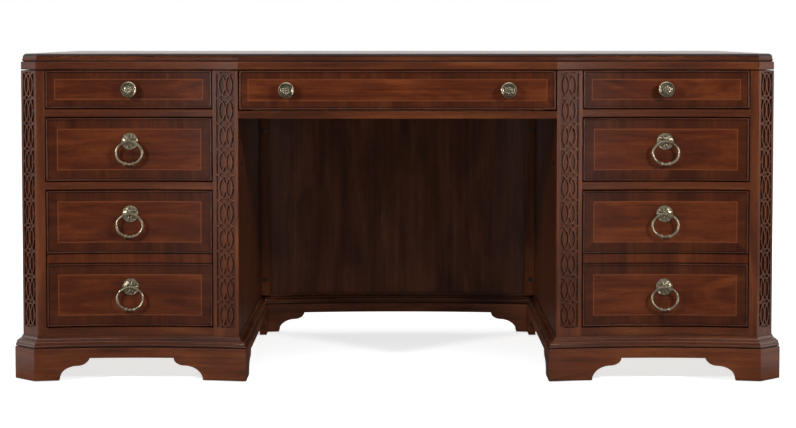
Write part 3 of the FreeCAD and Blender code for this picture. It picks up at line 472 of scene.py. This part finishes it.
def clear_selection():
    if bpy.context.mode != "OBJECT":
        bpy.ops.object.mode_set(mode="OBJECT")
    bpy.ops.object.select_all(action="DESELECT")


def dress(nodes, material):
    for name in nodes:
        node = frame["nodes"][name]
        node.data.materials.clear()
        node.data.materials.append(material)


def apply_transform():
    bpy.ops.object.transform_apply(location=True, rotation=True, scale=True)


# A turned piece about Z: a ring of points drawn out along a profile of (radius, height) pairs
def turned(name, profile, segments):
    clear_selection()
    radius, height = profile[0]
    bpy.ops.mesh.primitive_circle_add(vertices=segments, radius=radius, location=(0, 0, height),
                                      fill_type="NGON")
    piece = bpy.context.object
    piece.name = name
    apply_transform()
    bpy.ops.object.mode_set(mode="EDIT")
    bpy.ops.mesh.select_all(action="SELECT")
    for (r0, z0), (r1, z1) in zip(profile, profile[1:]):
        bpy.ops.mesh.extrude_region_move(TRANSFORM_OT_translate={"value": (0, 0, z1 - z0)})
        bpy.ops.transform.resize(value=(r1 / r0, r1 / r0, 1.0), center_override=(0, 0, z1))
    bpy.ops.mesh.select_all(action="SELECT")
    bpy.ops.mesh.normals_make_consistent(inside=False)
    bpy.ops.object.mode_set(mode="OBJECT")
    return piece


# An ellipsoid with the half sizes given
def ball(size, place, turn=Matrix(), segments=16, rings=10):
    clear_selection()
    bpy.ops.mesh.primitive_uv_sphere_add(segments=segments, ring_count=rings, radius=1.0)
    piece = bpy.context.object
    piece.matrix_world = Matrix.Translation(place) @ turn @ Matrix.Diagonal((*size, 1.0))
    apply_transform()
    return piece


# An eye of round rod whose hole runs along X
def eye(radius, rod, place):
    clear_selection()
    bpy.ops.mesh.primitive_torus_add(major_radius=radius, minor_radius=rod, major_segments=32,
                                     minor_segments=12, location=place, rotation=(0, math.pi / 2, 0))
    apply_transform()
    return bpy.context.object


# A petal that points away from the middle of a face. Its shape is: half sizes, distance from the middle,
# depth below the face, slope
def petal(shape, face, turn):
    size, out, depth, slope = shape
    place = Vector((math.cos(turn) * out, math.sin(turn) * out, face - depth))
    return ball(size, place, Matrix.Rotation(turn, 4, "Z") @ Matrix.Rotation(slope, 4, "Y"))


def turns(count):
    return [2 * math.pi * i / count for i in range(count)]


def joined(name, pieces):
    clear_selection()
    for piece in pieces:
        piece.select_set(True)
    bpy.context.view_layer.objects.active = pieces[0]
    bpy.ops.object.join()
    piece = bpy.context.object
    piece.name = name
    bpy.ops.object.shade_smooth_by_angle(angle=SMOOTH_ANGLE)
    return piece


# A copy of a piece modelled about Z, its Z turned to face the front and its foot set on a point
def set_on_front(piece, name, place):
    clear_selection()
    piece.select_set(True)
    bpy.context.view_layer.objects.active = piece
    bpy.ops.object.duplicate(linked=False)
    copy = bpy.context.object
    copy.name = name
    copy.matrix_world = Matrix.Translation(place) @ TO_FRONT
    apply_transform()
    return copy


def discard(piece):
    clear_selection()
    piece.select_set(True)
    bpy.ops.object.delete()


# Operators

class DESK_OT_top(bpy.types.Operator):
    """Finish the top board and the frieze"""
    bl_idname = "desk.top"
    bl_label = "Top and frieze"

    def execute(self, context):
        finish = context.scene.desk_finish
        # The top's moulded edge is darkened to a quarter by painted shade
        dress(["top_board"], wood("top wood", RUN_ACROSS, finish, figure=1.4, edge=0.25, duller=0.08))
        dress(["frieze_front", "frieze_back", "frieze_ends"],
              wood("frieze wood", RUN_LEVEL, finish, figure=0.6, tone=1.2))
        return {"FINISHED"}


class DESK_OT_carcase(bpy.types.Operator):
    """Finish posts, stiles, sides, backs, rails and fretwork"""
    bl_idname = "desk.carcase"
    bl_label = "Carcase"

    def execute(self, context):
        finish = context.scene.desk_finish
        dress(["corner_posts"],
              wood("post wood", RUN_UPRIGHT, finish, figure=0.7, tone=1.15, offset=(7.0, 0.0, 0.0)))
        # The stiles keep more of their colour under the painted shade in hollows
        dress(["inner_stiles"],
              wood("stile wood", RUN_UPRIGHT, finish, figure=0.7, tone=1.25, offset=(8.0, 0.0, 0.0),
                   painted_hollow_shade=0.7))
        dress([side + name for side in SIDES for name in ("_outer_side", "_back_panel")],
              wood("upright wood", RUN_UPRIGHT, finish))
        # Painted shade: the kneehole's inner sides get a darker tone of the upright wood
        dress([side + "_inner_side" for side in SIDES],
              wood("side wood", RUN_UPRIGHT, finish, tone=0.85, offset=(9.0, 0.0, 0.0), gloss=0.6))
        dress(["fretwork_panels"],
              wood("fret wood", RUN_UPRIGHT, finish, figure=0.5, tone=1.18, offset=(3.0, 0.0, 1.0)))
        dress(["drawer_rails", "centre_rail"],
              wood("rail wood", RUN_LEVEL, finish, figure=0.6, tone=1.08, offset=(0.0, 2.0, 0.0)))
        return {"FINISHED"}


class DESK_OT_base(bpy.types.Operator):
    """Finish plinth, feet and base moulding"""
    bl_idname = "desk.base"
    bl_label = "Base"

    def execute(self, context):
        finish = context.scene.desk_finish
        dress(["plinth_boards"],
              wood("plinth wood", RUN_LEVEL, finish, figure=0.9, tone=1.33, offset=(0.0, 4.0, 0.0)))
        # Painted light: the modesty plinth gets a lighter tone of the plinth wood
        dress(["modesty_plinth"],
              wood("modesty plinth wood", RUN_LEVEL, finish, figure=0.9, tone=1.5, offset=(0.0, 5.0, 0.0)))
        dress(["base_moulding", "modesty_moulding"],
              wood("moulding wood", RUN_LEVEL, finish, figure=0.4, offset=(0.0, 6.0, 0.0), gloss=0.6,
                   duller=-0.06))
        dress(["floor_glides"], plain("glide plastic", finish.plastic, GLIDE_ROUGHNESS, metallic=0.0))
        return {"FINISHED"}


class DESK_OT_modesty(bpy.types.Operator):
    """Finish the modesty panel, its cleats and its bolts"""
    bl_idname = "desk.modesty"
    bl_label = "Modesty panel"

    def execute(self, context):
        finish = context.scene.desk_finish
        dress(["modesty_panel", "modesty_cleats"],
              wood("panel wood", RUN_UPRIGHT, finish, figure=1.2, tone=1.15, offset=(5.0, 0.0, 0.0),
                   gloss=0.25))
        dress(["assembly_bolts"], plain("bolt steel", finish.bolt, BOLT_ROUGHNESS))
        return {"FINISHED"}


class DESK_OT_fronts(bpy.types.Operator):
    """Finish the drawer fronts with string and border"""
    bl_idname = "desk.fronts"
    bl_label = "Drawer fronts"

    def execute(self, context):
        finish = context.scene.desk_finish
        insets = {"top": finish.small_inset, "utility": finish.large_inset, "file": finish.large_inset}
        for name, inset in insets.items():
            middle, half = self.middle_and_half("right_" + name + "_front")
            half_height = half.z
            fold = 0.0
            if name == "file":
                half_height = self.middle_and_half("right_utility_front")[1].z
                fold = half.z - half_height
            material = inlaid(name + " front", finish, middle.x, middle.z, half.x, half_height, inset,
                              fold=fold, tone=SIDE_FRONT_TONE)
            dress([side + "_" + name + "_front" for side in SIDES], material)
        middle, half = self.middle_and_half("centre_front")
        material = inlaid("centre front", finish, 0.0, middle.z, half.x, half.z, finish.small_inset,
                          tone=CENTRE_FRONT_TONE)
        dress(["centre_front"], material)
        return {"FINISHED"}

    def middle_and_half(self, node):
        low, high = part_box(node)
        return (low + high) / 2, (high - low) / 2


class DESK_OT_inside(bpy.types.Operator):
    """Finish drawer boxes, runners, slides and hidden boards"""
    bl_idname = "desk.inside"
    bl_label = "Inside"

    def execute(self, context):
        finish = context.scene.desk_finish
        boxes = [side + name for side in SIDES for name in ("_top_box", "_utility_box", "_file_box")]
        boards = ["centre_box", "drawer_runners", "centre_runners", "pedestal_bottoms", "pedestal_tops",
                  "foot_blocks"]
        dress(boxes + boards, inner_wood(finish))
        slides = [side + name for side in SIDES for name in ("_slide_middle", "_slide_inner")]
        dress(slides + ["file_slide_tracks"], plain("slide steel", finish.steel, SLIDE_ROUGHNESS))
        return {"FINISHED"}


# Knobs

# Outline from foot to face. The foot has radius and height. The neck and the face have radius and depth
# below the knob's front. The rim has distance in from the knob's radius and depth below its front
KNOB_FOOT = ((0.0108, 0.0), (0.0108, 0.0016), (0.0098, 0.0024), (0.0080, 0.0044), (0.0070, 0.0080))
KNOB_NECK = ((0.0069, 0.0114), (0.0080, 0.0106))
KNOB_RIM = ((0.0024, 0.0068), (0.0006, 0.0058), (0.0, 0.0046), (0.0, 0.0032), (0.0007, 0.0018),
            (0.0018, 0.0009), (0.0029, 0.0012), (0.0035, 0.0034), (0.0043, 0.0034))
KNOB_FACE = ((0.0140, 0.0018), (0.0132, 0.0014), (0.0124, 0.0018), (0.0118, 0.0036), (0.0109, 0.0036),
             (0.0101, 0.0020), (0.0070, 0.0014), (0.0030, 0.0011), (0.0002, 0.0010))
KNOB_SEGMENTS = 64
KNOB_PETALS = 8
KNOB_OUTER_PETAL = ((0.0026, 0.0024, 0.0012), 0.0078, 0.0017, 0.10)
KNOB_INNER_PETAL = ((0.0024, 0.0014, 0.0011), 0.0042, 0.0013, 0.06)
KNOB_BUD = (0.0022, 0.0022, 0.0013)
KNOB_BUD_DEPTH = 0.0013

# Radius of the solid that a knob replaces
KNOB_SOLID_RADIUS = 0.019


class DESK_OT_knobs(bpy.types.Operator):
    """Model a brass knob with a floral rosette and set it on the small drawers"""
    bl_idname = "desk.knobs"
    bl_label = "Knobs"

    def execute(self, context):
        handles = context.scene.desk_handles
        model = self.model(handles)
        model.data.materials.append(context.scene.desk_brass)
        for side in SIDES:
            node = side + "_top_knob"
            low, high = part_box(node)
            place = Vector(((low.x + high.x) / 2, low.y + handles.knob_reach, (low.z + high.z) / 2))
            piece = set_on_front(model, side + "_knob_turned", place)
            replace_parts(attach(piece, side + "_top_drawer"), node)
        low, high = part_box("centre_knobs")
        pieces = []
        for x in (low.x + KNOB_SOLID_RADIUS, high.x - KNOB_SOLID_RADIUS):
            place = Vector((x, low.y + handles.knob_reach, (low.z + high.z) / 2))
            pieces.append(set_on_front(model, "centre_knob_turned", place))
        piece = joined("centre_knob_pair", pieces)
        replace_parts(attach(piece, "centre_drawer"), "centre_knobs")
        discard(model)
        return {"FINISHED"}

    def model(self, handles):
        front = handles.knob_reach
        profile = list(KNOB_FOOT)
        profile += [(radius, front - depth) for radius, depth in KNOB_NECK]
        profile += [(handles.knob_radius - inward, front - depth) for inward, depth in KNOB_RIM]
        profile += [(radius, front - depth) for radius, depth in KNOB_FACE]
        parts = [turned("knob", profile, KNOB_SEGMENTS)]
        for turn in turns(KNOB_PETALS):
            parts.append(petal(KNOB_OUTER_PETAL, front, turn))
            parts.append(petal(KNOB_INNER_PETAL, front, turn + math.pi / KNOB_PETALS))
        parts.append(ball(KNOB_BUD, Vector((0, 0, front - KNOB_BUD_DEPTH))))
        return joined("knob model", parts)


# Rosette plates

# The border has distance in from the plate's radius and height. The dome inside it rises in steps to a tip,
# by the plate's dome less a sink that lets the petals stand proud
PLATE_BORDER = ((0.0, 0.0001), (0.0, 0.0014), (0.0006, 0.0021), (0.0016, 0.0022), (0.0024, 0.0018))
PLATE_STEPS = 8
PLATE_TIP = 0.0002
PLATE_SINK = 0.0036
PLATE_SEGMENTS = 64
PLATE_PETAL = ((0.0076, 0.0027, 0.0025), 0.0112, 0.0026, 0.27)

# Radius and height above the dome
EYE_POST = ((0.0052, -0.0030), (0.0050, 0.0), (0.0038, 0.0012), (0.0034, 0.0030))
EYE_POST_SEGMENTS = 24
EYE_RADIUS = 0.0049
EYE_ROD = 0.0014

# Radius of the solid that a plate replaces, and how far its eye reaches past the middle of the ring's rod
PLATE_SOLID_RADIUS = 0.020
EYE_SOLID_REACH = 0.0065


class DESK_OT_plates(bpy.types.Operator):
    """Model a domed rosette plate with an eye and set it on the larger drawers"""
    bl_idname = "desk.plates"
    bl_label = "Rosette plates"

    def execute(self, context):
        handles = context.scene.desk_handles
        model = self.model(handles)
        model.data.materials.append(context.scene.desk_brass)
        for side in SIDES:
            node = side + "_utility_plate"
            low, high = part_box(node)
            seat = low.y + handles.standoff + EYE_SOLID_REACH
            place = Vector(((low.x + high.x) / 2, seat, (low.z + high.z) / 2))
            piece = set_on_front(model, side + "_utility_rosette", place)
            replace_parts(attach(piece, side + "_utility_drawer"), node)
            low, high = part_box(side + "_file_plates")
            seat = low.y + handles.standoff + EYE_SOLID_REACH
            pieces = []
            for z in (low.z + PLATE_SOLID_RADIUS, high.z - PLATE_SOLID_RADIUS):
                place = Vector(((low.x + high.x) / 2, seat, z))
                pieces.append(set_on_front(model, side + "_file_rosette", place))
            piece = joined(side + "_file_rosettes", pieces)
            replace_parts(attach(piece, side + "_file_drawer"), side + "_file_plates")
        discard(model)
        return {"FINISHED"}

    def model(self, handles):
        dome = handles.plate_dome
        profile = [(handles.plate_radius - inward, height) for inward, height in PLATE_BORDER]
        border_radius, border_height = profile[-1]
        for step in range(1, PLATE_STEPS + 1):
            inward = step / PLATE_STEPS
            radius = border_radius * (1 - inward) + PLATE_TIP * inward
            height = border_height + (dome - PLATE_SINK) * math.sin(inward * math.pi / 2)
            profile.append((radius, height))
        parts = [turned("plate", profile, PLATE_SEGMENTS)]
        for turn in turns(handles.petals):
            parts.append(petal(PLATE_PETAL, dome, turn))
        post = [(radius, dome + height) for radius, height in EYE_POST]
        parts.append(turned("post", post, EYE_POST_SEGMENTS))
        parts.append(eye(EYE_RADIUS, EYE_ROD, (0, 0, handles.standoff)))
        return joined("plate model", parts)


# Rings

ROD_SEGMENTS = 16
END_STEPS = 26
SIDE_STEPS = 14
MERGE_DISTANCE = 0.00002
LOW_BEAD = (0.0028, 0.0044, 0.0044)
SIDE_BEAD = (0.0042, 0.0050, 0.0050)
COLLAR = (0.0010, 0.0042, 0.0042)

# Distance sideways from the lowest point of the ring, and half sizes
RING_BEADS = ((0.0, LOW_BEAD), (0.0095, SIDE_BEAD), (-0.0095, SIDE_BEAD), (0.0150, COLLAR),
              (-0.0150, COLLAR))

# Rod radius and half the depth, over the beads, of the solid that a ring replaces
RING_SOLID_ROD = 0.003
RING_SOLID_HALF_DEPTH = 0.005


class DESK_OT_rings(bpy.types.Operator):
    """Model an oval ring with bead and collars and hang it in each eye"""
    bl_idname = "desk.rings"
    bl_label = "Rings"

    def execute(self, context):
        handles = context.scene.desk_handles
        model = self.model(handles)
        model.data.materials.append(context.scene.desk_brass)
        for side in SIDES:
            for name, body in (("utility_ring", "utility_pull"), ("file_upper_ring", "file_upper_pull"),
                               ("file_lower_ring", "file_lower_pull")):
                low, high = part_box(side + "_" + name)
                place = Vector(((low.x + high.x) / 2, low.y + RING_SOLID_HALF_DEPTH,
                                high.z - RING_SOLID_ROD - handles.ring_half_height))
                piece = set_on_front(model, side + "_" + name + "_spun", place)
                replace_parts(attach(piece, side + "_" + body), side + "_" + name)
        discard(model)
        return {"FINISHED"}

    # Four arcs of two radii make the oval: the rod's section is spun along each in turn
    def model(self, handles):
        end = handles.ring_end
        end_middle = handles.ring_half_width - end
        rise = handles.ring_half_height - end
        side_middle = (end_middle * end_middle - rise ** 2) / (2 * rise)
        side_radius = handles.ring_half_height + side_middle
        half_end = math.atan2(side_middle, end_middle)
        side_sweep = math.pi - 2 * half_end
        start = Vector((end_middle + end * math.cos(half_end), -end * math.sin(half_end), 0))
        clear_selection()
        bpy.ops.mesh.primitive_circle_add(vertices=ROD_SEGMENTS, radius=handles.rod, location=start,
                                          rotation=(math.pi / 2, 0, -half_end))
        ring = bpy.context.object
        apply_transform()
        bpy.ops.object.mode_set(mode="EDIT")
        bpy.ops.mesh.select_all(action="SELECT")
        for centre, sweep, steps in (((end_middle, 0, 0), 2 * half_end, END_STEPS),
                                     ((0, -side_middle, 0), side_sweep, SIDE_STEPS),
                                     ((-end_middle, 0, 0), 2 * half_end, END_STEPS),
                                     ((0, side_middle, 0), side_sweep, SIDE_STEPS)):
            bpy.ops.mesh.spin(steps=steps, angle=-sweep, center=centre, axis=(0, 0, 1))
        bpy.ops.mesh.select_all(action="SELECT")
        bpy.ops.mesh.remove_doubles(threshold=MERGE_DISTANCE)
        bpy.ops.mesh.normals_make_consistent(inside=False)
        bpy.ops.object.mode_set(mode="OBJECT")
        parts = [ring]
        for across, size in RING_BEADS:
            down = math.sqrt(side_radius * side_radius - across * across)
            lean = Matrix.Rotation(math.asin(across / side_radius), 4, "Z")
            parts.append(ball(size, Vector((across, side_middle - down, 0)), lean, segments=20, rings=12))
        return joined("ring model", parts)


# Stage

FLOOR_SIZE = 40.0
FLOOR_ROUGHNESS = 0.9

# Shade of the floor as the camera sees it, as gloss mirrors it and as it lights matt faces
FLOOR_SHADE = (0.80, 0.80, 0.80)
FLOOR_IN_GLOSS = (0.14, 0.14, 0.14)
FLOOR_ON_MATT = (0.45, 0.45, 0.45)

# The floor's own glow for the camera: distance from the desk, stretched in depth, and glow near and far
GLOW_STRETCH = (1.0, 1.4, 1.0)
GLOW_RANGE = (1.2, 3.0)
GLOW_NEAR = 0.73
GLOW_FAR = 1.0

# Patches beside the desk that gloss mirrors: where they start and end along X, and where they start along Y
PATCH_START = (1.0, 1.15)
PATCH_END = (2.6, 1.8)
PATCH_DEPTH = (-1.6, -0.7)

# Places and sizes of the lights. A pair stands at plus and minus the first number
SIDE_LIGHT = (2.1, -2.4, 1.7)
SIDE_LIGHT_SIZE = 0.30
GLINT_LIGHT = (1.9, -2.4, 0.64)
GLINT_LIGHT_SIZE = 0.25
FRONT_LIGHT = (0.0, -3.0, 1.0)
FRONT_LIGHT_SIZE = 1.6
BACK_LIGHT = (0.0, 3.2, 2.0)
BACK_LIGHT_SIZE = 1.8
TOP_LIGHT = (0.0, -0.6, 3.6)
TOP_LIGHT_SIZE = 3.2
KNEE_LIGHT = (0.0, -0.38, 0.11)
KNEE_LIGHT_SIZE = 0.16
KNEE_LIGHT_TARGET = (0.0, 0.62, 0.11)
KNEE_LIGHT_COLOUR = (0.70, 0.85, 1.0)
LIGHT_TARGET = (0.0, 0.0, 0.40)

# Strength of the world that gloss mirrors, by direction: range along Y with its levels, and range along Z
# with its shares
MIRROR_BY_DEPTH = (-0.45, -0.05, 0.09, 2.0)
MIRROR_BY_HEIGHT = (0.22, 0.55, 1.0, 0.3)

SENSOR_WIDTH = 36.0


def add_floor(stage):
    clear_selection()
    bpy.ops.mesh.primitive_plane_add(size=FLOOR_SIZE)
    floor = bpy.context.object
    floor.name = "floor"
    shader = Shader("floor")
    ray = shader.nodes.new("ShaderNodeLightPath").outputs
    shade = shader.mix(ray["Is Glossy Ray"], FLOOR_SHADE, FLOOR_IN_GLOSS)
    shade = shader.mix(ray["Is Diffuse Ray"], shade, FLOOR_ON_MATT)
    away = shader.vector_calc("LENGTH", shader.vector_calc("MULTIPLY", shader.coords, GLOW_STRETCH))
    seen = shader.calc("MULTIPLY", ray["Is Camera Ray"], shader.fit(away, *GLOW_RANGE, GLOW_NEAR, GLOW_FAR))
    x, y, z = shader.split(shader.coords)
    across = shader.calc("ABSOLUTE", x)
    patch = shader.calc("MULTIPLY", shader.fit(across, *PATCH_START), shader.fit(y, *PATCH_DEPTH))
    patch = shader.calc("MULTIPLY", patch, shader.fit(across, *PATCH_END))
    mirrored = shader.calc("MULTIPLY", ray["Is Glossy Ray"], patch)
    bounced = shader.calc("MULTIPLY", ray["Is Diffuse Ray"], stage.bounce)
    glow = shader.calc("ADD", shader.calc("ADD", seen, mirrored), bounced)
    material = shader.finish(Base_Color=shade, Roughness=FLOOR_ROUGHNESS, Specular_IOR_Level=0.0,
                             Emission_Color=WHITE, Emission_Strength=glow)
    floor.data.materials.append(material)


def mirrored_place(place):
    return (-place[0], place[1], place[2])


# A round area light that the camera doesn't see. It lights matt faces, gloss or both
def add_light(name, place, size, strength, matt=True, gloss=False, shade=WHITE, target=LIGHT_TARGET):
    bpy.ops.object.light_add(type="AREA", location=place)
    light = bpy.context.object
    light.name = name
    light.data.shape = "DISK"
    light.data.size = size
    light.data.energy = strength
    light.data.color = shade
    light.visible_camera = False
    light.visible_glossy = gloss
    light.visible_diffuse = matt
    light.rotation_euler = (Vector(target) - Vector(place)).to_track_quat("-Z", "Y").to_euler()


def add_lights(stage):
    add_light("left light", mirrored_place(SIDE_LIGHT), SIDE_LIGHT_SIZE, stage.side_power)
    add_light("right light", SIDE_LIGHT, SIDE_LIGHT_SIZE, stage.side_power)
    add_light("front light", FRONT_LIGHT, FRONT_LIGHT_SIZE, stage.front_power)
    add_light("left glint", mirrored_place(GLINT_LIGHT), GLINT_LIGHT_SIZE, stage.glint_power, matt=False,
              gloss=True)
    add_light("right glint", GLINT_LIGHT, GLINT_LIGHT_SIZE, stage.glint_power, matt=False, gloss=True)
    add_light("back light", BACK_LIGHT, BACK_LIGHT_SIZE, stage.back_power)
    add_light("knee light", KNEE_LIGHT, KNEE_LIGHT_SIZE, stage.knee_power, shade=KNEE_LIGHT_COLOUR,
              target=KNEE_LIGHT_TARGET)
    add_light("top light", TOP_LIGHT, TOP_LIGHT_SIZE, stage.top_power, gloss=True)


# White for the camera, bright sides and back and a dim front for gloss, and a low fill for matt faces
def set_world(scene, stage):
    world = bpy.data.worlds.new("studio")
    scene.world = world
    world.use_nodes = True
    tree = NodeTree(world.node_tree)
    ray = tree.nodes.new("ShaderNodeLightPath").outputs
    x, y, z = tree.split(tree.nodes.new("ShaderNodeTexCoord").outputs["Generated"])
    mirrored = tree.calc("MULTIPLY", tree.fit(y, *MIRROR_BY_DEPTH), tree.fit(z, *MIRROR_BY_HEIGHT))
    level = tree.mix(ray["Is Glossy Ray"], stage.fill, mirrored, data="FLOAT")
    level = tree.mix(ray["Is Camera Ray"], level, 1.0, data="FLOAT")
    background = tree.nodes["Background"]
    tree.put(background.inputs["Strength"], level)
    tree.put(background.inputs["Color"], WHITE)


def add_camera(scene, stage):
    bpy.ops.object.camera_add(location=(stage.camera_x, -stage.camera_back, stage.camera_up),
                              rotation=(math.pi / 2 - stage.pitch, 0, 0))
    camera = bpy.context.object
    camera.name = "camera"
    camera.data.sensor_width = SENSOR_WIDTH
    camera.data.lens = stage.lens
    camera.data.shift_y = stage.shift_y
    camera.data.dof.use_dof = False
    scene.camera = camera


class DESK_OT_stage(bpy.types.Operator):
    """Set floor, lights, world and camera"""
    bl_idname = "desk.stage"
    bl_label = "Stage"

    def execute(self, context):
        scene = context.scene
        stage = scene.desk_stage
        add_floor(stage)
        add_lights(stage)
        set_world(scene, stage)
        add_camera(scene, stage)
        scene.view_settings.view_transform = "Standard"
        return {"FINISHED"}


class DESK_PT_panel(bpy.types.Panel):
    """The steps that dress the desk"""
    bl_idname = "DESK_PT_panel"
    bl_label = "Pedestal desk"
    bl_space_type = "VIEW_3D"
    bl_region_type = "UI"
    bl_category = "Desk"

    def draw(self, context):
        for step in STEPS:
            self.layout.operator(step.bl_idname)


GROUPS = (DeskFinish, DeskHandles, DeskStage)
STEPS = (DESK_OT_top, DESK_OT_carcase, DESK_OT_base, DESK_OT_modesty, DESK_OT_fronts, DESK_OT_inside,
         DESK_OT_knobs, DESK_OT_plates, DESK_OT_rings, DESK_OT_stage)


def register():
    for cls in GROUPS + STEPS + (DESK_PT_panel,):
        bpy.utils.register_class(cls)
    bpy.types.Scene.desk_finish = PointerProperty(type=DeskFinish)
    bpy.types.Scene.desk_handles = PointerProperty(type=DeskHandles)
    bpy.types.Scene.desk_stage = PointerProperty(type=DeskStage)
    bpy.types.Scene.desk_brass = PointerProperty(type=bpy.types.Material)


def unregister():
    del bpy.types.Scene.desk_brass
    del bpy.types.Scene.desk_stage
    del bpy.types.Scene.desk_handles
    del bpy.types.Scene.desk_finish
    for cls in reversed(GROUPS + STEPS + (DESK_PT_panel,)):
        bpy.utils.unregister_class(cls)


def main():
    register()
    bpy.context.scene.desk_brass = aged_brass(bpy.context.scene.desk_finish)
    bpy.ops.desk.top()
    bpy.ops.desk.carcase()
    bpy.ops.desk.base()
    bpy.ops.desk.modesty()
    bpy.ops.desk.fronts()
    bpy.ops.desk.inside()
    bpy.ops.desk.knobs()
    bpy.ops.desk.plates()
    bpy.ops.desk.rings()
    bpy.ops.desk.stage()


if __name__ == "__main__":
    main()
